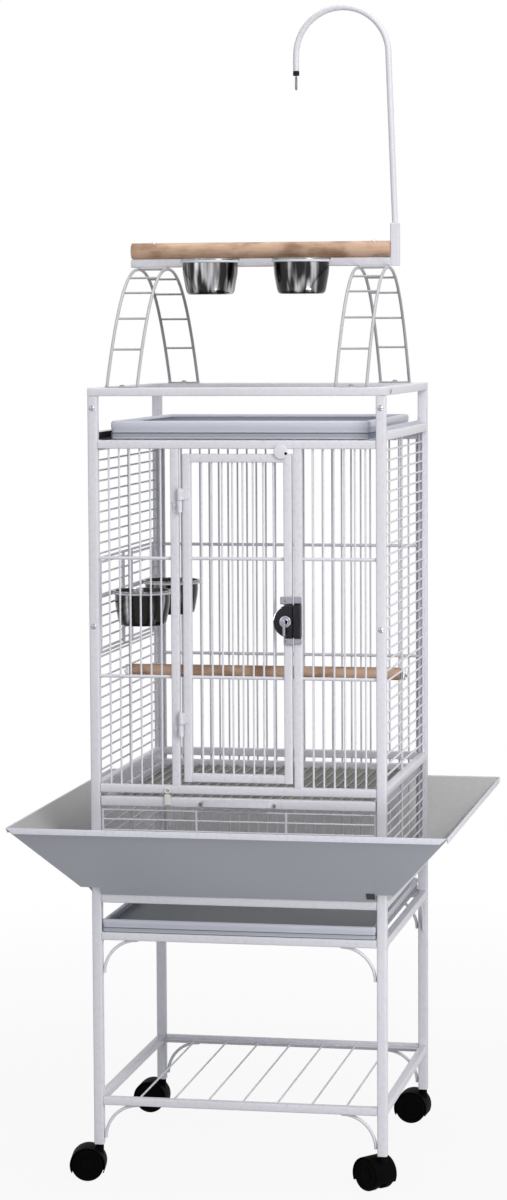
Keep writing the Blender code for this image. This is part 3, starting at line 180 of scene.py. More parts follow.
class Sketch:
    """Collects the surfaces of one piece until it becomes a mesh object."""

    def __init__(self) -> None:
        """Start with nothing."""
        self.points: list[Vector] = []
        self.faces: list[tuple[int, ...]] = []

    def rings(self, rings: list[Path], loop: bool = False) -> None:
        """Join equal rings of points with faces.

        Args:
            rings: Rings with the same number of points.
            loop: Whether the last ring joins the first; otherwise both ends are closed.
        """
        base = len(self.points)
        count = len(rings[0])
        self.points += [Vector(point) for ring in rings for point in ring]
        for step in range(len(rings) if loop else len(rings) - 1):
            first = base + step * count
            second = base + (step + 1) % len(rings) * count
            for index in range(count):
                after = (index + 1) % count
                self.faces.append((first + index, first + after, second + after, second + index))
        if not loop:
            self.faces.append(tuple(range(base, base + count)))
            last = base + (len(rings) - 1) * count
            self.faces.append(tuple(range(last, last + count)))

    def wire(self, path: Path, radius: float, sides: int = 10, loop: bool = False,
             taper: float = 0.0) -> None:
        """Add a round wire along a path.

        Args:
            path: Points of its centre line.
            radius: Radius of the wire.
            sides: Number of sides.
            loop: Whether the path is closed.
            taper: Length over which each end is rounded off.
        """
        path = [Vector(point) for point in path]
        radii = [radius] * len(path)
        if taper and not loop:
            head = (path[1] - path[0]).normalized()
            tail = (path[-1] - path[-2]).normalized()
            path = [path[0], path[0] + head * taper] + path[1:-1] + [path[-1] - tail * taper, path[-1]]
            radii = [radius * 0.55, radius] + [radius] * (len(path) - 4) + [radius, radius * 0.55]
        normal = None
        rings = []
        for index, point in enumerate(path):
            before = path[index - 1] if index or loop else point
            after = path[(index + 1) % len(path)] if index + 1 < len(path) or loop else point
            along = (after - before).normalized()
            if normal is None:
                normal = along.orthogonal().normalized()
            normal = (normal - along * normal.dot(along)).normalized()
            side = along.cross(normal)
            turns = [2 * math.pi * step / sides for step in range(sides)]
            rings.append([point + (normal * math.cos(t) + side * math.sin(t)) * radii[index] for t in turns])
        self.rings(rings, loop)

    def bar(self, x: float | Span, y: float | Span, z: float | Span, radius: float, sides: int = 10) -> None:
        """Add a straight round wire along one axis.

        Args:
            x: Its place along X, or its limits if it runs along X.
            y: The same along Y.
            z: The same along Z.
            radius: Radius of the wire.
            sides: Number of sides.
        """
        limits = [place if isinstance(place, tuple) else (place, place) for place in (x, y, z)]
        self.wire([Vector(end) for end in zip(*limits)], radius, sides)

    def tube(self, x_span: Span, y_span: Span, z_span: Span, axis: Axis,
             corner: float = SIZES.corner, chamfer: float = 0.0004) -> None:
        """Add a straight bar with rounded long edges.

        Args:
            x_span: Limits along X.
            y_span: Limits along Y.
            z_span: Limits along Z.
            axis: Axis that the bar runs along.
            corner: Radius of the long edges.
            chamfer: Width of the small bevel at both ends.
        """
        low = Vector([min(span) for span in (x_span, y_span, z_span)])
        high = Vector([max(span) for span in (x_span, y_span, z_span)])
        run = axis.value
        first, second = [index for index in range(3) if index != run]
        rings = []
        for place, inset in ((low[run], chamfer), (low[run] + chamfer, 0.0),
                             (high[run] - chamfer, 0.0), (high[run], chamfer)):
            ring = []
            for turn, sign_a, sign_b in ((0, 1, 1), (1, -1, 1), (2, -1, -1), (3, 1, -1)):
                for step in range(4):
                    angle = math.radians(90 * turn + 30 * step)
                    point = Vector()
                    edge_a = (high if sign_a > 0 else low)[first] - sign_a * corner
                    edge_b = (high if sign_b > 0 else low)[second] - sign_b * corner
                    point[run] = place
                    point[first] = edge_a + math.cos(angle) * (corner - inset)
                    point[second] = edge_b + math.sin(angle) * (corner - inset)
                    ring.append(point)
            rings.append(ring)
        self.rings(rings)

    def lathe(self, profile: list[Span], centre: Vector, axis: Vector = Z,
              steps: int = 48, loop: bool = True) -> None:
        """Add a turned surface.

        Args:
            profile: Points of (radius, height) of the section.
            centre: Point on the axis at height zero.
            axis: Direction of the axis.
            steps: Number of steps round the axis.
            loop: Whether the section is closed on itself; otherwise its ends lie on the axis.
        """
        along = Vector(axis).normalized()
        side = along.orthogonal().normalized()
        other = along.cross(side)
        rings = []
        for step in range(steps):
            turn = 2 * math.pi * step / steps
            out = side * math.cos(turn) + other * math.sin(turn)
            rings.append([Vector(centre) + out * radius + along * height for radius, height in profile])
        if loop:
            self.rings(rings, loop=True)
            return
        base = len(self.points)
        count = len(profile)
        self.points += [point for ring in rings for point in ring]
        for step in range(steps):
            first = base + step * count
            second = base + (step + 1) % steps * count
            for index in range(count - 1):
                self.faces.append((first + index, first + index + 1, second + index + 1, second + index))
        for end, height in ((0, profile[0][1]), (count - 1, profile[-1][1])):
            self.points.append(Vector(centre) + along * height)
            hub = len(self.points) - 1
            for step in range(steps):
                first = base + step * count + end
                second = base + (step + 1) % steps * count + end
                self.faces.append((first, second, hub))

    def dowel(self, start: Vector, length: float, radius: float, soft: float, middles: int, steps: int) -> None:
        """Add a turned rod along X with soft ends.

        Args:
            start: Middle of its left end.
            length: Its length.
            radius: Its radius.
            soft: Width of the bevel at each end.
            middles: Number of rings of points between the ends.
            steps: Number of steps round it.
        """
        hub = radius * 0.35
        profile = [(hub, 0.0), (radius - soft, 0.0), (radius, soft)]
        profile += [(radius, length * (index + 1) / (middles + 1)) for index in range(middles)]
        profile += [(radius, length - soft), (radius - soft, length), (hub, length)]
        self.lathe(profile, start, X, steps, loop=False)

    def disc(self, centre: Vector, axis: Vector, head: Head) -> None:
        """Add a round head with a soft edge.

        Args:
            centre: Centre of its back face.
            axis: Direction that it faces.
            head: Its size.
        """
        radius, thick = head.radius, head.thick
        soft = min(thick, radius) * 0.3
        profile = [(radius * 0.999, 0.0), (radius, soft * 0.5), (radius, thick - soft),
                   (radius - soft * 0.4, thick - soft * 0.3), (radius - soft, thick)]
        for share in (0.75, 0.5, 0.25):
            profile.append(((radius - soft) * share, thick + head.dome * (1 - share * share)))
        self.lathe(profile, centre, axis, head.steps, loop=False)

    def hoop(self, centre: Vector, radius: float, thick: float, steps: int, up: Vector = Y,
             sides: int = 10) -> None:
        """Add a closed ring of round wire.

        Args:
            centre: Its centre.
            radius: Radius of its centre line.
            thick: Radius of the wire.
            steps: Number of steps round it.
            up: Unit vector that spans its plane together with X.
            sides: Number of sides of the wire.
        """
        path = arc_points(centre, radius, 0.0, 2 * math.pi * (steps - 1) / steps, steps - 1, X, up)
        self.wire(path, thick, sides, loop=True)

    def piece(self, name: str, material: bpy.types.Material, body: str,
              replaces: tuple[str, ...] = (), sharp: float = SHARP, moved: Matrix | None = None) -> None:
        """Turn the sketch into an object that rides on a body.

        Args:
            name: Name of the piece.
            material: Its material.
            body: The body that it moves with.
            replaces: Nodes that it stands for.
            sharp: Angle in degrees above which an edge is sharp.
            moved: A placement for the whole piece.
        """
        shape = bmesh.new()
        corners = [shape.verts.new(point) for point in self.points]
        for face in self.faces:
            shape.faces.new([corners[index] for index in face])
        bmesh.ops.recalc_face_normals(shape, faces=shape.faces)
        mesh = bpy.data.meshes.new(name)
        shape.to_mesh(mesh)
        shape.free()
        if moved is not None:
            mesh.transform(moved)
        mesh.materials.append(material)
        mesh.shade_smooth()
        mesh.set_sharp_from_angle(angle=math.radians(sharp))
        item = bpy.data.objects.new(name, mesh)
        bpy.context.scene.collection.objects.link(item)
        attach(item, body)
        if replaces:
            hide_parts(*replaces)
        LOG.info("%s: %d faces on %s", name, len(mesh.polygons), body)


def feed(tree: bpy.types.NodeTree, node: bpy.types.Node, inputs: dict) -> None:
    """Set a node's inputs.

    Args:
        tree: The tree that the node is in.
        node: The node.
        inputs: Values or other nodes' outputs, by the name or number of the input.
    """
    for label, value in inputs.items():
        if isinstance(value, bpy.types.NodeSocket):
            tree.links.new(value, node.inputs[label])
        else:
            node.inputs[label].default_value = value


def add_node(tree: bpy.types.NodeTree, kind: str, inputs: dict | None = None,
             **settings: str | bpy.types.NodeTree) -> bpy.types.Node:
    """Add a shader node.

    Args:
        tree: The tree that takes it.
        kind: Its type, without the leading ShaderNode.
        inputs: Values or other nodes' outputs for its inputs.
        **settings: Its own settings, such as its operation.

    Returns:
        The new node.
    """
    node = tree.nodes.new("ShaderNode" + kind)
    for label, value in settings.items():
        setattr(node, label, value)
    feed(tree, node, inputs or {})
    return node


class Group:
    """A node group in the making."""

    KINDS = {"Color": "NodeSocketColor", "Normal": "NodeSocketVector"}

    def __init__(self, name: str, **inputs: float | tuple) -> None:
        """Start a group.

        Args:
            name: Its name.
            **inputs: Default values of its inputs, a tuple for a colour.
        """
        self.tree = bpy.data.node_groups.new(name, "ShaderNodeTree")
        for label, value in inputs.items():
            kind = "NodeSocketColor" if isinstance(value, tuple) else "NodeSocketFloat"
            socket = self.tree.interface.new_socket(name=label, in_out="INPUT", socket_type=kind)
            socket.default_value = value
        self.given = self.tree.nodes.new("NodeGroupInput").outputs

    def noise(self, scale: float, detail: float, stretch: tuple = (1.0, 1.0, 1.0)) -> bpy.types.NodeSocket:
        """Add noise that is read in object space.

        Args:
            scale: Its scale.
            detail: Its detail.
            stretch: How much each axis is stretched.

        Returns:
            Its output.
        """
        place = add_node(self.tree, "TexCoord").outputs["Object"]
        mapping = add_node(self.tree, "Mapping", {"Vector": place, "Scale": stretch}).outputs["Vector"]
        noise = add_node(self.tree, "TexNoise", {"Vector": mapping, "Scale": scale, "Detail": detail})
        return noise.outputs["Fac"]

    def ramp(self, source: bpy.types.NodeSocket, low: float, high: float, start: float = 0.0,
             end: float = 1.0) -> bpy.types.NodeSocket:
        """Turn one range of a value into another, softly at both ends.

        Args:
            source: The value.
            low: Start of its own range.
            high: End of its own range.
            start: What the low end becomes.
            end: What the high end becomes.

        Returns:
            The new value.
        """
        limits = {"From Min": low, "From Max": high, "To Min": start, "To Max": end}
        return add_node(self.tree, "MapRange", {"Value": source, **limits},
                        interpolation_type="SMOOTHSTEP").outputs["Result"]

    def math(self, operation: str, *values: float | bpy.types.NodeSocket) -> bpy.types.NodeSocket:
        """Return the result of a calculation."""
        return add_node(self.tree, "Math", dict(enumerate(values)), operation=operation).outputs["Value"]

    def mix(self, factor: bpy.types.NodeSocket, first: str, second: str) -> bpy.types.NodeSocket:
        """Return a mix of two of the group's colours."""
        return add_node(self.tree, "Mix", {"Factor": factor, "A": self.given[first], "B": self.given[second]},
                        data_type="RGBA").outputs["Result"]

    def bump(self, height: bpy.types.NodeSocket, strength: float | bpy.types.NodeSocket,
             distance: float) -> bpy.types.NodeSocket:
        """Return the normal of a surface raised by a height."""
        return add_node(self.tree, "Bump", {"Height": height, "Strength": strength,
                                            "Distance": distance}).outputs["Normal"]

    def close(self, **outputs: bpy.types.NodeSocket) -> bpy.types.NodeTree:
        """Give the group its outputs.

        Args:
            **outputs: What each output gives.

        Returns:
            The group's tree.
        """
        for label in outputs:
            kind = self.KINDS.get(label, "NodeSocketFloat")
            self.tree.interface.new_socket(name=label, in_out="OUTPUT", socket_type=kind)
        feed(self.tree, self.tree.nodes.new("NodeGroupOutput"), outputs)
        return self.tree


class Effects:
    """Node groups that several finishes share, each built once."""

    def __init__(self) -> None:
        """Build every group."""
        self.peel = self._peel()
        self.dust = self._dust()
        self.grain = self._grain()
        self.polish = self._polish()
        self.streaks = self._painted_reflection_streaks()

    @staticmethod
    def _peel() -> bpy.types.NodeTree:
        """Build the orange-peel bump and the cloudy tone of powder coat.

        Returns:
            The node group.
        """
        group = Group("coat_peel", Color=(0.8, 0.8, 0.85, 1.0), Mottle=0.04, Peel=0.12, Roughness=0.4)
        given = group.given
        shade = group.ramp(group.noise(7.0, 1.0), 0.2, 0.8, -1.0, 1.0)
        lift = group.math("ADD", group.math("MULTIPLY", shade, given["Mottle"]), 1.0)
        tint = add_node(group.tree, "VectorMath", {0: given["Color"], "Scale": lift}, operation="SCALE")
        return group.close(Color=tint.outputs["Vector"],
                           Roughness=group.math("MULTIPLY_ADD", shade, 0.02, given["Roughness"]),
                           Normal=group.bump(group.noise(900.0, 2.0), given["Peel"], 0.0003))

    @staticmethod
    def _dust() -> bpy.types.NodeTree:
        """Build a mask of wear that lies on convex edges and in loose specks.

        Returns:
            The node group.
        """
        group = Group("edge_wear", Amount=0.2)
        place = group.tree.nodes.new("ShaderNodeNewGeometry")
        edge = group.ramp(place.outputs["Pointiness"], 0.52, 0.62)
        specks = group.ramp(group.noise(140.0, 4.0), 0.45, 0.7)
        worn = group.math("MULTIPLY", edge, specks)
        return group.close(Mask=group.math("MULTIPLY", worn, group.given["Amount"]))

    @staticmethod
    def _grain() -> bpy.types.NodeTree:
        """Build long wood grain that runs along X.

        Returns:
            The node group.
        """
        group = Group("wood_grain", Light=(0.62, 0.42, 0.28, 1.0), Dark=(0.40, 0.24, 0.14, 1.0), Relief=0.3)
        fine = group.noise(420.0, 4.0, (0.04, 1.0, 1.0))
        broad = group.ramp(group.noise(34.0, 4.0, (0.55, 1.0, 1.0)), 0.36, 0.66, -0.12, 0.72)
        return group.close(Color=group.mix(group.math("MULTIPLY_ADD", fine, 0.45, broad), "Light", "Dark"),
                           Roughness=group.ramp(fine, 0.3, 0.7, 0.5, 0.68),
                           Normal=group.bump(fine, group.given["Relief"], 0.0004))

    @staticmethod
    def _polish() -> bpy.types.NodeTree:
        """Build the fine turning marks and smears of polished metal.

        Returns:
            The node group.
        """
        group = Group("polish_marks", Roughness=0.15, Spread=0.08)
        given = group.given
        smear = group.ramp(group.noise(25.0, 4.0), 0.35, 0.7)
        return group.close(Roughness=group.math("MULTIPLY_ADD", smear, given["Spread"], given["Roughness"]),
                           Normal=group.bump(group.noise(300.0, 2.0, (0.15, 0.15, 4.0)), 0.08, 0.0001))

    @staticmethod
    def _painted_reflection_streaks() -> bpy.types.NodeTree:
        """Build upright dark and bright streaks for steel: painted reflections in its colour.

        Returns:
            The node group.
        """
        group = Group("steel_painted_reflections", Dark=(0.08, 0.08, 0.08, 1.0), Bright=(0.6, 0.6, 0.6, 1.0))
        # Upright dark and bright bands of painted reflection.
        mask = group.ramp(group.noise(62.0, 2.0, (1.0, 1.0, 0.05)), 0.53, 0.70)
        return group.close(Color=group.mix(mask, "Dark", "Bright"))


@dataclass(frozen=True)
class Finish:
    """The base of every finish."""

    name: str

    def make(self, effects: Effects) -> bpy.types.Material:
        """Build the finish.

        Args:
            effects: The shared node groups.

        Returns:
            The material.
        """
        material = bpy.data.materials.new(self.name)
        material.use_nodes = True
        tree = material.node_tree
        feed(tree, tree.nodes["Principled BSDF"], self.inputs(tree, effects))
        return material

    def inputs(self, tree: bpy.types.NodeTree, effects: Effects) -> dict:
        """Return the values and outputs that the shader takes."""
        raise NotImplementedError


@dataclass(frozen=True)
class CoatFinish(Finish):
    """A painted, moulded or powder-coated surface."""

    colour: Colour
    worn: Colour
    roughness: float
    mottle: float = 0.04
    peel: float = 0.12
    wear: float = 0.3
    specular: float = 0.5

    def inputs(self, tree: bpy.types.NodeTree, effects: Effects) -> dict:
        """Build the nodes of the coat.

        Args:
            tree: The material's tree.
            effects: The shared node groups.

        Returns:
            What the shader takes.
        """
        peel = add_node(tree, "Group", {"Color": (*self.colour, 1.0), "Mottle": self.mottle, "Peel": self.peel,
                                        "Roughness": self.roughness}, node_tree=effects.peel).outputs
        wear = add_node(tree, "Group", {"Amount": self.wear}, node_tree=effects.dust).outputs["Mask"]
        mix = add_node(tree, "Mix", {"Factor": wear, "A": peel["Color"], "B": (*self.worn, 1.0)}, data_type="RGBA")
        return {"Base Color": mix.outputs["Result"], "Roughness": peel["Roughness"], "Normal": peel["Normal"],
                "Specular IOR Level": self.specular}


@dataclass(frozen=True)
class MetalFinish(Finish):
    """A bare, polished metal surface."""

    colour: Colour
    roughness: float
    spread: float

    def inputs(self, tree: bpy.types.NodeTree, effects: Effects) -> dict:
        """Build the nodes of the metal.

        Args:
            tree: The material's tree.
            effects: The shared node groups.

        Returns:
            What the shader takes.
        """
        marks = add_node(tree, "Group", {"Roughness": self.roughness, "Spread": self.spread},
                         node_tree=effects.polish).outputs
        return {"Base Color": (*self.colour, 1.0), "Metallic": 1.0, "Roughness": marks["Roughness"],
                "Normal": marks["Normal"]}


@dataclass(frozen=True)
class ReflectionStreakFinish(Finish):
    """Spun steel whose colour carries painted reflections: dark and bright streaks that run up its side."""

    dark: Colour
    bright: Colour
    roughness: float

    def inputs(self, tree: bpy.types.NodeTree, effects: Effects) -> dict:
        """Build the nodes of the steel with painted reflection streaks.

        Args:
            tree: The material's tree.
            effects: The shared node groups.

        Returns:
            What the shader takes.
        """
        streaks = add_node(tree, "Group", {"Dark": (*self.dark, 1.0), "Bright": (*self.bright, 1.0)},
                           node_tree=effects.streaks).outputs
        marks = add_node(tree, "Group", {"Roughness": self.roughness}, node_tree=effects.polish).outputs
        return {"Base Color": streaks["Color"], "Metallic": 1.0, "Roughness": marks["Roughness"],
                "Normal": marks["Normal"]}


@dataclass(frozen=True)
class WoodFinish(Finish):
    """Bare turned hardwood."""

    light: Colour
    dark: Colour
    relief: float = 0.35

    def inputs(self, tree: bpy.types.NodeTree, effects: Effects) -> dict:
        """Build the nodes of the wood.

        Args:
            tree: The material's tree.
            effects: The shared node groups.

        Returns:
            What the shader takes.
        """
        grain = add_node(tree, "Group", {"Light": (*self.light, 1.0), "Dark": (*self.dark, 1.0),
                                         "Relief": self.relief}, node_tree=effects.grain).outputs
        return {"Base Color": grain["Color"], "Roughness": grain["Roughness"], "Normal": grain["Normal"]}


class Look(Enum):
    """Finishes of details beside the record's slots."""

    LIP_HIGHLIGHT = "guard_lip"
    GUARD_INSIDE = "guard_inside"
    TRAY_SHADE_AND_CLIP = "tray_inside"
    PLAY_TRAY = "play_tray"
    TRAY_SHADOW_LINE = "tray_line"
    TRAY_GROOVE_SHADE = "tray_groove"
    GRATE_SHADE = "grate_wires"
    SCREW = "dark_screws"
    CUP_REFLECTIONS = "spun_cup"
    SHADE_AND_FERRULE = "dark_gap"
    LOCK = "lock_moulding"
    KEY = "lock_metal"
    ARCH_SHADE = "arch_painted_shade_coat"


class Palette:
    """Every material of the cage, by its slot or its look."""

    def __init__(self) -> None:
        """Build the materials."""
        effects = Effects()
        finishes = {
            Slot.PAINT: CoatFinish("pale_powder_coat", (0.725, 0.72, 0.775), (0.50, 0.50, 0.53), 0.36,
                                   mottle=0.03),
            Slot.SHEET: CoatFinish("tray_powder_coat", (0.53, 0.55, 0.62), (0.60, 0.61, 0.64), 0.40),
            Slot.GUARD: CoatFinish("guard_powder_coat", (0.43, 0.445, 0.495), (0.42, 0.43, 0.46), 0.30,
                                   mottle=0.01, peel=0.05),
            Slot.STEEL: MetalFinish("polished_steel", (0.60, 0.60, 0.61), 0.16, 0.10),
            Slot.CHROME: MetalFinish("chrome_plate", (0.74, 0.74, 0.78), 0.10, 0.06),
            Slot.BLACK: CoatFinish("black_moulding", (0.0022, 0.0022, 0.0022), (0.02, 0.02, 0.02), 0.6,
                                   mottle=0.2, peel=0.2, wear=0.2, specular=0.02),
            Look.LOCK: CoatFinish("lock_moulding", (0.006, 0.006, 0.011), (0.05, 0.05, 0.06), 0.26,
                                  mottle=0.5, peel=0.3, specular=0.28),
            Look.KEY: MetalFinish("lock_metal", (0.36, 0.355, 0.41), 0.16, 0.12),
            # The arches take a darker grey copy of the cage paint: painted shade on the thin wires.
            Look.ARCH_SHADE: CoatFinish("arch_painted_shade_coat", (0.46, 0.46, 0.475), (0.4, 0.4, 0.4), 0.36),
            Slot.WHITE: CoatFinish("white_moulding", (0.74, 0.74, 0.70), (0.55, 0.55, 0.52), 0.35,
                                   mottle=0.03, peel=0.08),
            Slot.WOOD: WoodFinish("turned_hardwood", (0.66, 0.45, 0.32), (0.27, 0.15, 0.085)),
            # The lip is paler than the guard sheet it is folded from: a painted highlight on the rolled edge.
            Look.LIP_HIGHLIGHT: CoatFinish("guard_lip_painted_highlight_coat", (0.66, 0.66, 0.73), (0.5, 0.5, 0.53), 0.38, mottle=0.02),
            Look.GUARD_INSIDE: CoatFinish("guard_inner_coat", (0.42, 0.42, 0.42), (0.5, 0.5, 0.5), 0.46,
                                          mottle=0.03),
            # Near-black coat: painted shade inside the trays; the guard's real dark clip also takes it.
            Look.TRAY_SHADE_AND_CLIP: CoatFinish("tray_painted_shade_and_clip_coat", (0.060, 0.057, 0.052), (0.1, 0.1, 0.1), 0.5,
                                         mottle=0.15, specular=0.2),
            Look.PLAY_TRAY: CoatFinish("play_tray_coat", (0.60, 0.62, 0.70), (0.5, 0.5, 0.53), 0.38),
            # Dark bands at the tray's foot and under its roll are painted shadow lines; the face below the roll is
            # a darker copy of the sheet as painted shade.
            Look.TRAY_SHADOW_LINE: CoatFinish("tray_painted_shadow_line_coat", (0.15, 0.16, 0.18), (0.2, 0.2, 0.2), 0.45),
            Look.TRAY_GROOVE_SHADE: CoatFinish("tray_groove_painted_shade_coat", (0.38, 0.40, 0.46), (0.4, 0.4, 0.4), 0.42),
            # The grate's wires take a dark olive copy of the cage paint: painted shade.
            Look.GRATE_SHADE: CoatFinish("grate_painted_shade_coat", (0.34, 0.35, 0.32), (0.2, 0.2, 0.2), 0.45, mottle=0.12),
            Look.SCREW: MetalFinish("dark_screw_metal", (0.20, 0.20, 0.21), 0.32, 0.12),
            # Cup steel is near black with bright upright streaks: painted reflections in the base colour.
            Look.CUP_REFLECTIONS: ReflectionStreakFinish("spun_cup_steel_painted_reflections", (0.030, 0.029, 0.028), (0.55, 0.55, 0.57), 0.16),
            # Near-black coat: painted shade on the left guide channel; the hook's dark ferrule also takes it.
            Look.SHADE_AND_FERRULE: CoatFinish("painted_shade_and_ferrule_black", (0.012, 0.012, 0.014), (0.02, 0.02, 0.02), 0.6,
                                   specular=0.1),
        }
        self.finish = {key: finish.make(effects) for key, finish in finishes.items()}

    def __getitem__(self, key: Slot | Look) -> bpy.types.Material:
        """Return the material of a slot or a look."""
        return self.finish[key]


@dataclass
class Assembly:
    """A group of pieces that take their finishes from one palette."""

    palette: Palette

    def add(self, sketch: Sketch, name: str, key: Slot | Look, *nodes: str, slot: Slot | None = None,
            body: str = "frame", sharp: float = SHARP, moved: Matrix | None = None) -> None:
        """Turn a sketch into a piece.

        Args:
            sketch: The sketch.
            name: Name of the piece.
            key: Its finish.
            *nodes: The nodes that it stands for.
            slot: The record's slot of its finish, where the finish isn't a slot itself; it is not used.
            body: The body that it moves with.
            sharp: Angle in degrees above which an edge is sharp.
            moved: A placement for the whole piece.
        """
        sketch.piece(name, self.palette[key], body, nodes, sharp, moved)

    def dress(self, node: str, key: Slot | Look) -> None:
        """Give a carried-over solid its material.

        Args:
            node: Name of its node.
            key: Its finish.
        """
        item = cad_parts[node]
        item.data.materials.clear()
        item.data.materials.append(self.palette[key])


@dataclass
class PostsAndRings(Assembly):
    """The corner posts, the play top ring and their bolts."""

    bolt_heights: Span = (0.858, 1.190)
    bolt: Head = Head(0.0042, 0.0010, 0.0014, 18)
    bolt_from_corner: float = 0.05
    post_corner: float = 0.0022

    def build(self) -> None:
        """Build the posts, the ring and the bolts."""
        s = SIZES
        for name, side_x, side_y in CORNERS:
            sketch = Sketch()
            x_span = (side_x * (s.half_w - s.post), side_x * s.half_w)
            y_span = (side_y * (s.half_d - s.post), side_y * s.half_d)
            top = s.top_rail_top - s.rail - s.gap
            sketch.tube(x_span, y_span, (s.caster_height, top), Axis.Z, corner=self.post_corner)
            self.add(sketch, "post_tube_" + name, Slot.PAINT, "post_" + name)
        self._ring()
        self._bolts()

    def _ring(self) -> None:
        """Build the ring of tubes under the play top."""
        s = SIZES
        sketch = Sketch()
        z_span = (s.top_rail_top - s.rail, s.top_rail_top)
        for side in (-1, 1):
            sketch.tube((-s.half_w, s.half_w), (side * s.rail_in, side * s.half_d), z_span, Axis.X)
            sketch.tube((side * s.rail_in, side * s.half_w), (-s.rail_in, s.rail_in), z_span, Axis.Y,
                        chamfer=0.0)
        self.add(sketch, "play_top_tubes", Slot.PAINT, "play_top_ring")

    def _bolts(self) -> None:
        """Build the bolt heads on the posts."""
        s = SIZES
        sketch = Sketch()
        for side in (-1, 1):
            x = side * (s.half_w - s.post / 2)
            for z in self.bolt_heights:
                for face in (-1, 1):
                    sketch.disc(Vector((x, face * s.half_d, z)), Y * face, self.bolt)
        for face in (-1, 1):
            z = s.top_rail_top - s.rail / 2
            sketch.disc(Vector((face * s.half_w, -s.half_d + self.bolt_from_corner, z)), X * face, self.bolt)
        self.add(sketch, "post_bolts", Look.KEY, slot=Slot.STEEL)


@dataclass
class Stand(Assembly):
    """The lower rails with their braces, and the storage shelf."""

    brace_radius: float = 0.052
    brace_wire: float = 0.005
    shelf_wires: int = 7
    sink: float = 0.002

    def _braces(self, sketch: Sketch, rail_bottom: float, along: Vector, wall: Vector) -> None:
        """Add the two quarter-round braces under a rail.

        Args:
            sketch: The sketch that takes them.
            rail_bottom: Height of the rail's underside.
            along: Unit vector along the rail.
            wall: Middle of the rail on the ground plane.
        """
        for side in (-1, 1):
            bend = SIZES.post_in - self.brace_wire / 2 - self.brace_radius
            centre = wall + along * (side * bend) + Z * (rail_bottom - self.brace_radius)
            points = arc_points(centre, self.brace_radius, 0.0, math.pi / 2, 12, along * side, Z)
            points.append(points[-1] + Z * self.sink - along * (side * self.sink))
            sketch.wire(points, self.brace_wire / 2, 10)

    def build(self) -> None:
        """Build the rails and the shelf."""
        s = SIZES
        top = s.lower_rail_top
        for name, along, out in (("front", X, -Y), ("back", X, Y), ("left", Y, -X), ("right", Y, X)):
            sketch = Sketch()
            self._rail(sketch, along, out, top)
            self._braces(sketch, top - s.rail, along, out * s.wall)
            self.add(sketch, "stand_tube_" + name, Slot.PAINT, "stand_rail_" + name)
        self._shelf()

    @staticmethod
    def _rail(sketch: Sketch, along: Vector, out: Vector, top: float) -> None:
        """Add one rail between two posts, its outer face flush with them.

        Args:
            sketch: The sketch that takes it.
            along: Unit vector along the rail.
            out: Unit vector out of the cage.
            top: Height of its top.
        """
        s = SIZES
        low = along * -s.post_in + out * s.rail_in
        high = along * s.post_in + out * s.half_w
        axis = Axis.X if along.x else Axis.Y
        sketch.tube((low.x, high.x), (low.y, high.y), (top - s.rail, top), axis)

    def _shelf(self) -> None:
        """Build the storage shelf."""
        s = SIZES
        sketch = Sketch()
        for side in (-1, 1):
            self._rail(sketch, X, Y * side, s.shelf_top)
            self._rail(sketch, Y, X * side, s.shelf_top)
            self._braces(sketch, s.shelf_top - s.rail, X, Y * (side * s.wall))
        wire_z = s.shelf_top - s.rail / 2
        reach = s.rail_in + self.sink
        for x in spaced(-s.rail_in, s.rail_in, 2 * s.rail_in / (self.shelf_wires + 1)):
            sketch.bar(x, (-reach, reach), wire_z, s.wire / 2)
        for side in (-1, 1):
            y = side * (s.post_in - s.wire / 2)
            sketch.bar((-reach, reach), y, wire_z, s.wire / 2)
        self.add(sketch, "shelf_rack", Slot.PAINT, "storage_shelf")


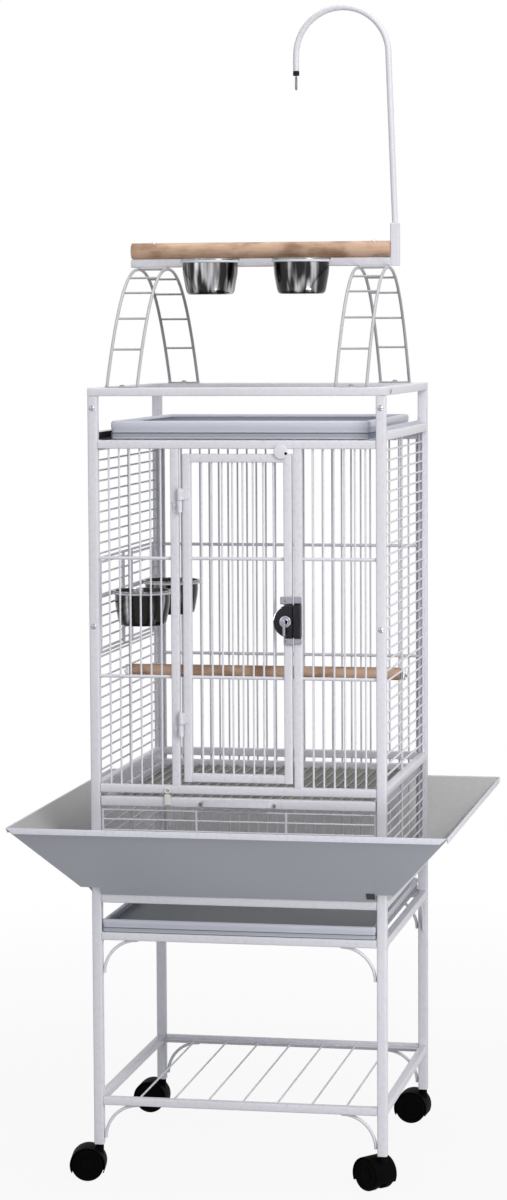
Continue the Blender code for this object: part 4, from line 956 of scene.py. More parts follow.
@dataclass
class Walls(Assembly):
    """The four walls, the skirt and the roof grille."""

    stiffener: float = 0.004
    skirt_top: float = 0.5785
    skirt_pitch: float = 0.0175
    skirt_uprights: Span = (-0.065, 0.074)
    feeder_bottom: float = 0.815
    feeder_height: float = 0.142
    feeder_width: float = 0.156
    feeder_from_middle: float = 0.105

    def build(self) -> None:
        """Build every wall."""
        self._back()
        self._side(1, [], "right")
        half = self.feeder_width / 2
        self._side(-1, [(y - half, y + half) for y in (-self.feeder_from_middle, self.feeder_from_middle)],
                   "left")
        self._front()
        self._skirt()
        self._roof()

    def _back(self) -> None:
        """Build the back wall of upright bars."""
        s = SIZES
        sketch = Sketch()
        for top in (s.upper_rail_top, s.floor_rail_top, s.roof_rail_top):
            sketch.tube((-s.post_in, s.post_in), (s.rail_in, s.half_d), (top - s.rail, top), Axis.X)
        low = s.upper_rail_top - s.gap
        high = s.roof_rail_top - s.rail + s.gap
        for x in spaced(-s.post_in, s.post_in, s.pitch):
            sketch.bar(x, s.wall, (low, high), s.wire / 2)
        for end in (-1, 1):
            x = end * (s.post_in - s.edge_wire / 2)
            sketch.bar(x, s.wall, (low, high), s.edge_wire / 2)
        y = s.wall - (s.wire + s.cross_bar) / 2
        for z in s.cross_heights:
            place = z - s.back_cross_drop
            sketch.bar((-s.post_in, s.post_in), y, place, s.cross_bar / 2, 12)
        self.add(sketch, "back_wall", Slot.PAINT, "back_panel")

    def _side(self, side: int, gaps: list[Span], name: str) -> None:
        """Build a side wall of level wires.

        Args:
            side: -1 for the left wall, 1 for the right one.
            gaps: Y limits of the feeder openings.
            name: The wall's name.
        """
        s = SIZES
        sketch = Sketch()
        x = side * s.wall
        for top in (s.upper_rail_top, s.floor_rail_top, s.side_roof_top):
            sketch.tube((side * s.rail_in, side * s.half_w), (-s.post_in, s.post_in), (top - s.rail, top),
                        Axis.Y)
        low = s.upper_rail_top - s.gap
        high = s.roof_rail_top + s.gap
        reach = s.post_in - s.edge_wire / 2
        for end in (-1, 1):
            sketch.bar(x, end * reach, (low, high), s.edge_wire / 2)
        back = side * (s.wall - (s.wire + self.stiffener) / 2)
        sketch.bar(back, 0, (low, high), self.stiffener / 2)
        levels = spaced(s.upper_rail_top, s.floor_rail_top - s.rail, s.pitch)
        levels += spaced(s.floor_rail_top, s.roof_rail_top, s.pitch)
        top = self.feeder_bottom + self.feeder_height
        for z in levels:
            runs = [(-reach, reach)]
            if gaps and self.feeder_bottom - s.wire < z < top + s.wire:
                runs = self._runs(reach, gaps)
            for start, end in runs:
                sketch.bar(x, (start, end), z, s.wire / 2)
        half = s.edge_wire / 2
        for z in (self.feeder_bottom - half, top + half) if gaps else ():
            sketch.bar(x, (-reach, reach), z, half)
        for low_y, high_y in gaps:
            for y in (low_y - half, high_y + half):
                sketch.bar(x, y, (self.feeder_bottom - half, top + half), half)
        self.add(sketch, name + "_wall", Slot.PAINT, name + "_panel")

    @staticmethod
    def _runs(reach: float, gaps: list[Span]) -> list[Span]:
        """Cut a wire where the feeder openings are.

        Args:
            reach: Half the wire's length.
            gaps: Y limits of the openings.

        Returns:
            Limits of what is left.
        """
        runs = []
        start = -reach
        for low, high in gaps:
            runs.append((start, low - SIZES.edge_wire / 2))
            start = high + SIZES.edge_wire / 2
        runs.append((start, reach))
        return runs

    def _front(self) -> None:
        """Build the front wall with the two uprights of the door."""
        s = SIZES
        sketch = Sketch()
        y_span = (-s.half_d, -s.rail_in)
        for top in (s.floor_rail_top, s.roof_rail_top):
            sketch.tube((-s.post_in, s.post_in), y_span, (top - s.rail, top), Axis.X)
        low = s.floor_rail_top - s.gap
        high = s.roof_rail_top - s.rail + s.gap
        for side in (-1, 1):
            inner = s.opening / 2
            outer = inner + s.rail
            sketch.tube((side * inner, side * outer), y_span, (low, high), Axis.Z, chamfer=0.0)
            for x in spaced(outer, s.post_in, s.pitch):
                sketch.bar(side * x, -s.wall, (low, high), s.wire / 2)
            for z in s.cross_heights:
                sketch.bar((side * outer, side * s.post_in), -s.wall, z, s.cross_bar / 2, 12)
        self.add(sketch, "front_wall", Slot.PAINT, "front_panel")

    def _skirt(self) -> None:
        """Build the grille of level wires below the grate."""
        s = SIZES
        sketch = Sketch()
        top = s.upper_rail_top
        sketch.tube((-s.post_in, s.post_in), (-s.half_d, -s.rail_in), (top - s.rail, top), Axis.X)
        reach = s.post_in - s.edge_wire / 2
        for x in (*self.skirt_uprights, -reach, reach):
            sketch.bar(x, -s.wall, (top - s.gap, self.skirt_top), s.edge_wire / 2)
        levels = spaced(top, self.skirt_top, self.skirt_pitch) + [self.skirt_top - s.edge_wire / 2]
        for z in levels:
            sketch.bar((-reach, reach), -s.wall, z, s.wire / 2)
        self.add(sketch, "skirt_grille", Slot.PAINT, "front_skirt")

    def _roof(self) -> None:
        """Build the roof grille under the play tray."""
        s = SIZES
        sketch = Sketch()
        z = s.roof_rail_top - s.edge_wire / 2
        half_x = s.post_in - s.edge_wire / 2
        half_y = s.rail_in - s.gap - s.edge_wire / 2
        for side in (-1, 1):
            sketch.bar((-half_x, half_x), side * half_y, z, s.edge_wire / 2)
            sketch.bar(side * half_x, (-half_y, half_y), z, s.edge_wire / 2)
        for x in spaced(-s.post_in, s.post_in, s.pitch):
            place = s.roof_rail_top - s.wire / 2 - s.gap
            sketch.bar(x, (-half_y, half_y), place, s.wire / 2)
        place = s.roof_rail_top - s.wire - s.edge_wire / 2
        sketch.bar((-half_x, half_x), 0, place, s.edge_wire / 2)
        self.add(sketch, "roof_wires", Slot.PAINT, "roof_grille")


@dataclass
class Lock(Assembly):
    """The door's lock: case, keeper, lever, and the ends of its bracket."""

    door_edge: float
    height: float = 0.870
    radius: float = 0.025
    depth: float = 0.0115
    split_gap: float = 0.0011
    split_from_upright: float = 0.0007
    round_centre_in: float = 0.0045
    pocket_deep: float = 0.008
    pocket_half_y: float = 0.0025
    pocket_half_z: float = 0.0045
    keeper_corner: float = 0.0016
    pocket_lap: float = 0.0002
    bezel_share: float = 0.955
    bezel_arc: Span = (math.radians(118), math.radians(176))
    bezel_wire: float = 0.0007
    bezel_in: float = 0.0016
    bracket_stand: float = 0.0034
    bracket_corner: float = 0.0012
    bracket_chamfer: float = 0.0008
    bracket_ends: tuple[tuple[float, ...], ...] = ((-1, 0.0105, 0.0002), (1, 0.0115, -0.0048))
    bracket_screw: Head = Head(0.0019, 0.0007, 0.0007, 16)
    strike_ends: tuple[Span, ...] = ((-1, 0.0095), (1, 0.0115))
    strike_stand: float = 0.0030
    lever_from_centre: float = 0.0055
    lever_disc: Head = Head(0.0090, 0.003, 0.0006, 36)
    lever_width: float = 0.006
    lever_thick: float = 0.0044
    lever_length: float = 0.0225
    lever_depth: float = 0.009
    key_disc: Head = Head(0.0090 * 0.62, 0.0034, 0.0003, 30)
    keyhole: Head = Head(0.0032, 0.0004, 0.0, 20)
    keyhole_place: Span = (0.0016, 0.0066)

    def __post_init__(self) -> None:
        """Work out where the case ends and the keeper starts."""
        self.front = -SIZES.half_d - SIZES.gap
        self.face = self.front - self.depth
        self.split = SIZES.opening / 2 + self.split_from_upright
        self.right = self.split - self.split_gap
        self.centre = Vector((self.right - self.round_centre_in, 0.0, self.height))

    def build(self) -> None:
        """Build the lock's pieces."""
        self._case()
        self._keeper()
        self._lever()
        self._bezel()
        self._bracket()
        self._strike()
        self.dress("lock_bolt", Slot.CHROME)

    def _case(self) -> None:
        """Build the moulded cover, whose rim is rounded towards its face."""
        top, bottom = self.height + self.radius, self.height - self.radius
        outline = [Vector((self.right, 0, top))]
        outline += arc_points(self.centre, self.radius, math.pi / 2, 1.5 * math.pi, 30, X, Z)
        outline.append(Vector((self.right, 0, bottom)))
        rings = []
        for share, scale in ((0.0, 1.0), (0.6, 1.0), (0.82, 0.975), (0.94, 0.93), (1.0, 0.86)):
            ring = []
            for point in outline:
                out = point - self.centre
                keep = scale if out.x < 0 else 1.0
                ring.append(Vector((self.centre.x + out.x * keep, self.front - self.depth * share,
                                    self.height + out.z * scale)))
            rings.append(ring)
        case = Sketch()
        case.rings(rings)
        self.add(case, "lock_cover", Look.LOCK, "lock_case", slot=Slot.BLACK, body="door")

    def _keeper(self) -> None:
        """Build the keeper round the pocket that takes the bolt."""
        left, right, radius = self.split, SIZES.opening / 2 + SIZES.rail, self.keeper_corner
        middle = (self.face + self.front) / 2
        slot = (middle - self.pocket_half_y, middle + self.pocket_half_y)
        outline = [(left, slot[0])]
        for x, start in ((left + radius, 180), (right - radius, 270)):
            for step in range(4):
                angle = math.radians(start + 30 * step)
                outline.append((x + radius * math.cos(angle), self.face + radius + radius * math.sin(angle)))
        outline += [(right, self.front), (left, self.front), (left, slot[1]),
                    (left + self.pocket_deep, slot[1]), (left + self.pocket_deep, slot[0])]
        hub = Vector(((left + right) / 2, middle, 0.0))
        keeper = Sketch()
        keeper.rings([[hub + (Vector((x, y, 0.0)) - hub) * size + Z * (self.height + level) for x, y in outline]
                      for level, size in ((-self.radius, 0.92), (0.001 - self.radius, 1.0),
                                          (self.radius - 0.001, 1.0), (self.radius, 0.92))])
        lap = self.pocket_lap
        for sign in (-1, 1):
            z_span = (self.height + sign * self.pocket_half_z, self.height + sign * (self.radius - 0.0012))
            keeper.tube((left + lap, left + self.pocket_deep + 2 * lap), (slot[0] - lap, slot[1] + lap), z_span,
                        Axis.Z, lap, lap)
        self.add(keeper, "lock_strike", Look.LOCK, "lock_keeper", slot=Slot.BLACK)

    def _bezel(self) -> None:
        """Build the bright bezel of the case."""
        bezel = Sketch()
        bezel.wire(arc_points(Vector((self.centre.x, self.face + self.bezel_in, self.height)),
                              self.radius * self.bezel_share, *self.bezel_arc, 18, X, Z), self.bezel_wire, 8,
                   taper=0.002)
        self.add(bezel, "lock_bezel", Slot.CHROME, body="door")

    def _bracket(self) -> None:
        """Build the bracket's ends above and below the case, with their screws."""
        bracket = Sketch()
        screws = Sketch()
        back = self.front - self.bracket_stand
        for sign, reach, past in self.bracket_ends:
            start = self.height + sign * (self.radius + SIZES.gap)
            bracket.tube((self.door_edge - SIZES.rail + past, self.right), (back, self.front),
                         (start, start + sign * reach), Axis.X, self.bracket_corner, self.bracket_chamfer)
            screws.disc(Vector((self.door_edge - SIZES.rail * 0.72, back, start + sign * reach / 2)), -Y,
                        self.bracket_screw)
        self.add(bracket, "lock_bracket", Look.KEY, slot=Slot.CHROME, body="door")
        self.add(screws, "lock_screws", Look.SCREW, slot=Slot.CHROME, body="door")

    def _strike(self) -> None:
        """Build the plate's ends above and below the keeper."""
        strike = Sketch()
        x_span = (self.right + self.split_gap, SIZES.opening / 2 + SIZES.rail - 0.0002)
        for sign, reach in self.strike_ends:
            start = self.height + sign * (self.radius + SIZES.gap)
            strike.tube(x_span, (self.front - self.strike_stand, self.front), (start, start + sign * reach),
                        Axis.X, self.bracket_corner, self.bracket_chamfer)
        self.add(strike, "lock_strike_trim", Look.KEY, slot=Slot.CHROME)

    def _lever(self) -> None:
        """Build the turning lever with its key disc and keyhole."""
        x = self.right - self.round_centre_in - self.lever_from_centre
        back = self.face - SIZES.gap
        root = back - self.lever_disc.thick
        sketch = Sketch()
        sketch.disc(Vector((x, back, self.height)), -Y, self.lever_disc)
        left = x - self.lever_width / 2
        sketch.tube((left, left + self.lever_thick), (root, back - self.lever_depth),
                    (self.height - self.lever_length, self.height + self.lever_disc.radius * 0.32), Axis.Z, 0.0018,
                    0.0016)
        sketch.disc(Vector((x, root, self.height)), -Y, self.key_disc)
        self.add(sketch, "lock_handle", Look.KEY, "lock_lever", slot=Slot.CHROME, body="lock_lever")
        along, out = self.keyhole_place
        hole = Sketch()
        hole.disc(Vector((x + along, back - out, self.height)), -Y, self.keyhole)
        self.add(hole, "lock_keyhole", Slot.BLACK, body="lock_lever")


@dataclass
class Door(Assembly):
    """The main door with its hinges and turn button; its lock is a class of its own."""

    hinge_gap: float = 0.006
    latch_gap: float = 0.0025
    bottom_gap: float = 0.0060
    top_gap: float = 0.0077
    hinge_setback: float = 0.0045
    hinge_from_upright: float = 0.003
    hinge_radius: float = 0.004
    pin_radius: float = 0.0018
    pin_foot: float = 0.002
    knuckle: float = 0.018
    leaf: float = 0.0012
    leaf_width: float = 0.0115
    leaf_corner: float = 0.0005
    leaf_inset: float = 0.0006
    leaf_screw: Head = Head(0.0022, 0.0006, 0.0006, 14)
    hinge_from_end: float = 0.070
    button: Head = Head(0.0108, 0.0032, 0.0004, 36)
    button_hole: Head = Head(0.0022, 0.0006, 0.0, 16)
    button_hole_share: float = 0.78
    button_from_edge: float = 0.0162
    button_rise: float = 0.0095
    levels: dict[str, float] = field(init=False)

    def __post_init__(self) -> None:
        """Work out the door's edges."""
        s = SIZES
        self.left = -s.opening / 2 + self.hinge_gap
        self.right = s.opening / 2 - self.latch_gap
        self.bottom = s.floor_rail_top + self.bottom_gap
        self.top = s.roof_rail_top - s.rail - self.top_gap
        self.hinge_x = -s.opening / 2 + self.hinge_from_upright
        self.hinge_y = -s.half_d - self.hinge_setback
        self.levels = {"upper": self.top - self.hinge_from_end - self.knuckle,
                       "lower": self.bottom + self.hinge_from_end}

    def build(self) -> None:
        """Build the door and what is on it."""
        self._leaf()
        self._hinges()
        Lock(self.palette, self.right).build()
        self._button()

    def _leaf(self) -> None:
        """Build the door's frame, bars and hinge eyes."""
        s = SIZES
        sketch = Sketch()
        y_span = (-s.half_d, -s.rail_in)
        sketch.tube((self.left, self.left + s.rail), y_span, (self.bottom, self.top), Axis.Z)
        sketch.tube((self.right - s.rail, self.right), y_span, (self.bottom, self.top), Axis.Z)
        inner = (self.left + s.rail - s.gap, self.right - s.rail + s.gap)
        for z_span in ((self.bottom, self.bottom + s.rail), (self.top - s.rail, self.top)):
            sketch.tube(inner, y_span, z_span, Axis.X, chamfer=0.0)
        low = self.bottom + s.rail - s.gap
        high = self.top - s.rail + s.gap
        for x in spaced(self.left + s.rail, self.right - s.rail, s.pitch):
            sketch.bar(x, -s.wall, (low, high), s.wire / 2)
        for z in s.cross_heights:
            sketch.bar(inner, -s.wall, z, s.cross_bar / 2, 12)
        for base in self.levels.values():
            foot = base + self.knuckle + s.gap
            profile = [(self.hinge_radius - 0.0016, 0.0), (self.hinge_radius, 0.0003),
                       (self.hinge_radius, self.knuckle - 0.0003), (self.hinge_radius - 0.0016, self.knuckle)]
            sketch.lathe(profile, Vector((self.hinge_x, self.hinge_y, foot)), steps=20)
            z_span = (foot + self.leaf_inset, foot + self.knuckle - self.leaf_inset)
            sketch.tube((self.hinge_x + self.hinge_radius * 0.6, self.left + self.leaf_width),
                        (-s.half_d - self.leaf, -s.half_d + s.gap), z_span, Axis.Z, self.leaf_corner)
            sketch.tube((self.hinge_x + self.hinge_radius * 0.4, self.hinge_x + self.hinge_radius * 1.3),
                        (self.hinge_y - self.leaf_inset, -s.half_d), z_span, Axis.Z, self.leaf_corner)
        self.add(sketch, "door_leaf", Slot.PAINT, "main_door", body="door")

    def _hinges(self) -> None:
        """Build the fixed half of each hinge, with its pin."""
        s = SIZES
        for name, base in self.levels.items():
            sketch = Sketch()
            centre = Vector((self.hinge_x, self.hinge_y, base))
            radius = self.hinge_radius
            sketch.lathe([(radius * 0.6, 0.0), (radius, 0.0004), (radius, self.knuckle - 0.0004),
                          (radius * 0.6, self.knuckle)], centre, steps=20, loop=False)
            sketch.wire([centre + Z * self.pin_foot, centre + Z * (2 * self.knuckle + self.pin_foot)],
                        self.pin_radius, 14)
            face = -s.half_d - s.gap
            z_span = (base + self.leaf_inset, base + self.knuckle - self.leaf_inset)
            sketch.tube((self.hinge_x - self.leaf_width, self.hinge_x), (face - self.leaf, face), z_span, Axis.Z,
                        self.leaf_corner)
            sketch.tube((self.hinge_x - radius * 0.9, self.hinge_x + radius * 0.2), (self.hinge_y, face), z_span,
                        Axis.Z, 0.0004)
            sketch.disc(Vector((self.hinge_x - self.leaf_width * 0.7, face - self.leaf, base + self.knuckle / 2)),
                        -Y, self.leaf_screw)
            self.add(sketch, "hinge_" + name, Slot.PAINT, "door_hinge_" + name)

    def _button(self) -> None:
        """Build the round turn button and its rivet."""
        x = self.right - self.button_from_edge
        back = -SIZES.half_d - SIZES.gap
        pivot = self.top - SIZES.rail / 2
        sketch = Sketch()
        sketch.disc(Vector((x, back, pivot + self.button_rise)), -Y, self.button)
        self.add(sketch, "turn_disc", Slot.PAINT, "door_turn_button", body="turn_button")
        dot = Sketch()
        share = self.button_hole_share
        dot.disc(Vector((x + self.button.radius * share, back - 0.0031, pivot + self.button_rise * share)), -Y,
                 self.button_hole)
        self.add(dot, "turn_disc_hole", Slot.BLACK, body="turn_button")


@dataclass
class Drawers(Assembly):
    """The grate drawer with its latch, the dirt tray, the play tray, guides and runners."""

    grate_top: float = 0.598
    grate_height: float = 0.015
    grate_play: float = 0.001
    pull_width: float = 0.103
    pull_thick: float = 0.0022
    pull_height: float = 0.009
    pull_stand: float = 0.006
    pull_marks: Span = (-0.0575, 0.0575)
    mark_half: float = 0.0020
    latch_x: float = -0.108
    latch_width: float = 0.010
    latch_length: float = 0.028
    sheet: float = 0.0015
    roll_share: float = 0.36
    corner: float = 0.004
    dirt_height: float = 0.0195
    play_half_width: float = 0.200
    play_front: float = 0.032
    play_back: float = 0.0185
    play_height: float = 0.0283
    guide_height: float = 0.018
    guide_low: float = 0.0115

    def build(self) -> None:
        """Build every drawer."""
        self._grate()
        self._latch()
        s = SIZES
        half = s.post_in - self.grate_play
        base = s.lower_rail_top + s.gap
        self._tray("dirt_pan", "dirt_tray", Slot.SHEET, (-half, half), (-s.half_d, s.half_d - s.rail / 4),
                   (base, base + self.dirt_height))
        base = s.roof_rail_top + s.gap
        self._tray("play_pan", "play_tray", Look.PLAY_TRAY, (-self.play_half_width, self.play_half_width),
                   (-s.half_d + self.play_front, s.half_d - self.play_back), (base, base + self.play_height))
        for name in ("grate_runner_left", "grate_runner_right"):
            self.dress(name, Slot.PAINT)
        # The left channel is coloured near black as painted shade; the right one keeps the tray's tone.
        self._guide(-1, "left", Look.SHADE_AND_FERRULE, self.guide_low)
        self._guide(1, "right", Look.PLAY_TRAY, self.guide_height)

    def _guide(self, side: int, name: str, key: Look, height: float) -> None:
        """Build the channel beside the play tray.

        Args:
            side: -1 for the left one, 1 for the right one.
            name: The side's name.
            key: Its finish.
            height: Height of its flange.
        """
        s = SIZES
        low = s.roof_rail_top + s.gap
        outer = side * (s.rail_in - s.gap)
        wall = outer - side * self.sheet
        edge = side * (self.play_half_width + 2 * s.gap)
        section = [(outer, low), (edge, low), (edge, low + self.sheet), (wall - side * 0.0006, low + self.sheet),
                   (wall, low + self.sheet + 0.0006), (wall, low + height), (outer, low + height)]
        sketch = Sketch()
        sketch.rings([[Vector((x, y, z)) for x, z in section] for y in (-s.post_in, s.post_in)])
        self.add(sketch, "guide_channel_" + name, key, "tray_guide_" + name, slot=Slot.SHEET)

    def _grate(self) -> None:
        """Build the grate with its front bar, wires and finger pull."""
        s = SIZES
        sketch = Sketch()
        half_x = s.post_in - self.grate_play
        back = s.rail_in - self.grate_play
        z_span = (self.grate_top - self.grate_height, self.grate_top)
        sketch.tube((-half_x, half_x), (-s.half_d, -s.half_d + s.rail), z_span, Axis.X)
        sketch.tube((-half_x, half_x), (back - s.rail, back), z_span, Axis.X)
        for side in (-1, 1):
            sketch.tube((side * half_x, side * (half_x - s.rail / 2)), (-s.half_d + s.rail, back - s.rail), z_span,
                        Axis.Y, chamfer=0.0)
        z = self.grate_top - self.grate_height / 2
        wires = Sketch()
        for x in spaced(-half_x, half_x, s.pitch):
            wires.bar(x, (-s.half_d + s.rail - s.gap, back - s.rail + s.gap), z, s.wire / 2)
        for y in spaced(-s.half_d, back, s.pitch):
            if -s.half_d + s.rail < y < back - s.rail:
                wires.bar((-half_x + s.rail / 2, half_x - s.rail / 2), y, z - s.wire, s.wire / 2, 8)
        self._pull(sketch, z)
        self.add(sketch, "grate_frame", Slot.PAINT, "floor_grate", body="grate_drawer")
        # The mesh is coloured darker than its frame as painted shade.
        self.add(wires, "grate_mesh", Look.GRATE_SHADE, slot=Slot.PAINT, body="grate_drawer")
        marks = Sketch()
        for x in self.pull_marks:
            marks.tube((x - self.mark_half, x + self.mark_half), (-s.half_d - self.mark_half, -s.half_d - 0.0002),
                       (z - self.pull_height * 0.5, z + self.pull_height * 0.1), Axis.Z, corner=0.0006)
        self.add(marks, "pull_feet", Look.SCREW, slot=Slot.STEEL, body="grate_drawer")

    def _pull(self, sketch: Sketch, z: float) -> None:
        """Add the bent strip of the finger pull.

        Args:
            sketch: The sketch that takes it.
            z: Height of its middle.
        """
        face = -SIZES.half_d - self.pull_stand
        half = self.pull_width / 2
        thick = self.pull_thick
        inner = [(half, -SIZES.half_d), (half - 0.001, face + 0.0015), (half - 0.0035, face)]
        outer = [(half - 0.0035 - thick * 0.4, face - thick), (half + thick * 0.4, face + 0.0005),
                 (half + thick, -SIZES.half_d)]
        section = [(-x, y) for x, y in inner] + [(x, y) for x, y in reversed(inner)]
        section += [(x, y) for x, y in reversed(outer)] + [(-x, y) for x, y in outer]
        rings = [[Vector((x, y, place)) for x, y in section]
                 for place in (z - self.pull_height / 2, z + self.pull_height / 2)]
        sketch.rings(rings)

    def _latch(self) -> None:
        """Build the white latch tab and its ring on the grate drawer."""
        back = -SIZES.half_d - SIZES.gap
        z = self.grate_top - self.grate_height / 2
        x = self.latch_x
        half = self.latch_width / 2
        sketch = Sketch()
        sketch.tube((x - half, x + half), (back - 0.003, back), (z - half, z - half + self.latch_length * 0.62),
                    Axis.Z, corner=0.0012, chamfer=0.0014)
        ring_z = z - half + self.latch_length - half
        sketch.hoop(Vector((x, back - 0.0016, ring_z)), half * 0.76, 0.0012, 24, Z)
        self.add(sketch, "latch_tab", Slot.WHITE, "grate_latch", body="grate_latch")

    def _tray(self, name: str, node: str, key: Slot | Look, x_span: Span, y_span: Span, z_span: Span) -> None:
        """Build a folded sheet tray with a rolled rim and a groove below it, with painted shadow lines, painted
        shade on the groove and an inside painted near black as shade.

        Args:
            name: Name of the piece.
            node: The node that it stands for, which is also its body.
            key: Finish of its outside.
            x_span: Limits along X.
            y_span: Limits along Y.
            z_span: Limits along Z.
        """
        low, high = z_span
        roll = (high - low) * self.roll_share
        thick = self.sheet
        shell = [(0.0022, low), (0.0008, low + 0.0006), (0.0004, low + 0.0022), (0.0010, low + roll * 0.9),
                 (0.0010, high - roll * 1.35), (0.0, high - roll), (0.0, high - roll * 0.35),
                 (roll * 0.12, high - roll * 0.08), (roll * 0.30, high), (roll * 0.62, high),
                 (roll * 0.80, high - roll * 0.10), (roll * 0.85, high - roll * 0.40),
                 (thick + 0.0008, high - roll * 0.9), (thick, low + thick)]
        self.add(self._pan(shell, x_span, y_span), name, key, node, slot=Slot.SHEET, body=node, sharp=50.0)
        # Bands over the front: painted shadow lines at the foot and under the roll, painted shade on the face
        # below it.
        for label, bands in (("line", ((0.02, 0.15), (0.90, 1.06))), ("groove", ((0.30, 0.90),))):
            stripe = Sketch()
            for start, end in bands:
                band = [(0.0009, low + roll * start), (0.0003, low + roll * (start + 0.04)),
                        (0.0003, low + roll * (end - 0.04)), (0.0009, low + roll * end)]
                stripe.rings(self._levels(band, x_span, y_span))
            self.add(stripe, f"{name}_{label}", Look(f"tray_{label}"), slot=Slot.SHEET, body=node)
        # The lining and floor inside are coloured near black: painted shade.
        lining = [(thick + 0.0001, high - roll * 0.95), (thick + 0.0001, low + thick),
                  (thick + 0.0004, low + thick + 0.0003), (thick + 0.0004, high - roll * 0.95)]
        floor = [(thick + 0.0005, low + thick + 0.0001), (thick + 0.0005, low + thick + 0.0004)]
        inside = self._pan(lining, x_span, y_span, loop=True)
        inside.rings(self._levels(floor, x_span, y_span))
        self.add(inside, name + "_inside", Look.TRAY_SHADE_AND_CLIP, slot=Slot.SHEET, body=node, sharp=50.0)

    def _levels(self, levels: list[Span], x_span: Span, y_span: Span) -> list[Path]:
        """Make soft-cornered rectangles.

        Args:
            levels: Inset and height of each one.
            x_span: Limits along X.
            y_span: Limits along Y.

        Returns:
            Their rings of points.
        """
        rings = []
        for inset, z in levels:
            ring = []
            for turn, (x, y) in enumerate(((x_span[1], y_span[1]), (x_span[0], y_span[1]),
                                           (x_span[0], y_span[0]), (x_span[1], y_span[0]))):
                side_x = 1 if turn in (0, 3) else -1
                side_y = 1 if turn < 2 else -1
                inward = inset + self.corner
                corner = Vector((x - side_x * inward, y - side_y * inward, z))
                for step in range(4):
                    angle = math.radians(90 * turn + 30 * step)
                    ring.append(corner + Vector((math.cos(angle), math.sin(angle), 0)) * self.corner)
            rings.append(ring)
        return rings

    def _pan(self, levels: list[Span], x_span: Span, y_span: Span, loop: bool = False) -> Sketch:
        """Make a folded wall.

        Args:
            levels: Its section as insets and heights.
            x_span: Limits along X.
            y_span: Limits along Y.
            loop: Whether the section is closed.

        Returns:
            The sketch that holds it.
        """
        sketch = Sketch()
        sketch.rings(self._levels(levels, x_span, y_span), loop=loop)
        return sketch


@dataclass
class SeedGuard(Assembly):
    """The four sloped sheets round the cage."""

    reach: float = 0.1065
    top: float = 0.562
    thick: float = 0.0013
    lip: float = 0.0090
    lip_relief: float = 0.011
    notch: float = 0.013
    roll: float = 0.0022
    clip_x: Span = (0.1998, 0.2130)
    clip_z: Span = (0.4510, 0.4610)
    clip_thick: float = 0.0010

    def __post_init__(self) -> None:
        """Work out the sheet's slope."""
        self.low = SIZES.upper_rail_top + SIZES.gap
        slope = math.atan2(self.top - self.low, self.reach)
        self.across = Vector((math.cos(slope), math.sin(slope)))
        self.normal = Vector((-math.sin(slope), math.cos(slope)))

    def build(self) -> None:
        """Build the four panels and the clip at the front."""
        for index, name in enumerate(("front", "right", "back", "left")):
            turn = Matrix.Rotation(math.radians(90 * index), 4, "Z")
            for label, key, near, far in (("inside", Look.GUARD_INSIDE, 0.0, 0.5),
                                          ("outside", Slot.GUARD, 0.5, 1.0)):
                sketch = Sketch()
                self._layer(sketch, near * self.thick, far * self.thick)
                replaces = ("seed_guard_" + name,) if key is Slot.GUARD else ()
                self.add(sketch, f"guard_{name}_{label}", key, *replaces, slot=Slot.GUARD, moved=turn)
            sketch = Sketch()
            self._lip(sketch)
            # The lip takes a paler copy of the guard's coat, a painted highlight.
            self.add(sketch, f"guard_{name}_lip", Look.LIP_HIGHLIGHT, slot=Slot.GUARD, sharp=50.0, moved=turn)
        self._clip()

    def _on_slope(self, z: float, depth: float) -> Vector:
        """Find a point of a layer of the sheet.

        Args:
            z: Its height.
            depth: How far the layer lies below the upper face.

        Returns:
            Its reach and height.
        """
        point = Vector((SIZES.gap, self.low)) - self.normal * depth
        return point + self.across * ((z - point.y) / self.across.y)

    def _layer(self, sketch: Sketch, near: float, far: float) -> None:
        """Add one layer of the front panel, mitred at its ends and notched round the posts.

        Args:
            sketch: The sketch that takes it.
            near: Depth of its upper face.
            far: Depth of its lower face.
        """
        s = SIZES
        end = Vector((self.reach, self.top)) - self.across * self.roll
        low, raised = ([self._on_slope(z, near), end - self.normal * near, end - self.normal * far,
                        self._on_slope(z, far)] for z in (self.low, s.upper_rail_top + self.notch))
        edge = s.post_in - s.gap
        rings = [[Vector((-(s.half_w + p.x - s.gap), -s.half_d - p.x, p.y)) for p in raised]]
        for x, section in ((-edge - 0.0001, raised), (-edge, low), (edge, low), (edge + 0.0001, raised)):
            rings.append([Vector((x, -s.half_d - p.x, p.y)) for p in section])
        rings.append([Vector((s.half_w + p.x - s.gap, -s.half_d - p.x, p.y)) for p in raised])
        sketch.rings(rings)

    def _lip(self, sketch: Sketch) -> None:
        """Add the turned-down lip of the front panel, its ends slanted.

        Args:
            sketch: The sketch that takes it.
        """
        edge = Vector((self.reach, self.top))
        bend = self.roll
        fold = edge - self.across * bend
        section = [fold, edge + Vector((-bend * 0.28, 0.0)), edge + Vector((0.0, -bend * 0.55)),
                   edge + Vector((0.0, -self.lip)), edge + Vector((-self.thick, -self.lip)),
                   edge + Vector((-self.thick, -bend * 1.2)), fold - self.normal * self.thick]
        rings = []
        for side in (-1, 1):
            ring = []
            for point in section:
                cut = self.lip_relief * (self.top - point.y) / self.lip
                ring.append(Vector((side * (SIZES.half_w + point.x - SIZES.gap - cut),
                                    -SIZES.half_d - point.x, point.y)))
            rings.append(ring)
        sketch.rings(rings)

    def _clip(self) -> None:
        """Build the small dark clip on the front panel beside the right post."""
        sketch = Sketch()
        low, high = self.clip_z
        far = self.thick + self.clip_thick
        section = [self._on_slope(z, depth)
                   for z, depth in ((low, self.thick), (high, self.thick), (high, far), (low, far))]
        sketch.rings([[Vector((x, -SIZES.half_d - p.x, p.y)) for p in section] for x in self.clip_x])
        self.add(sketch, "guard_clip", Look.TRAY_SHADE_AND_CLIP, slot=Slot.BLACK)


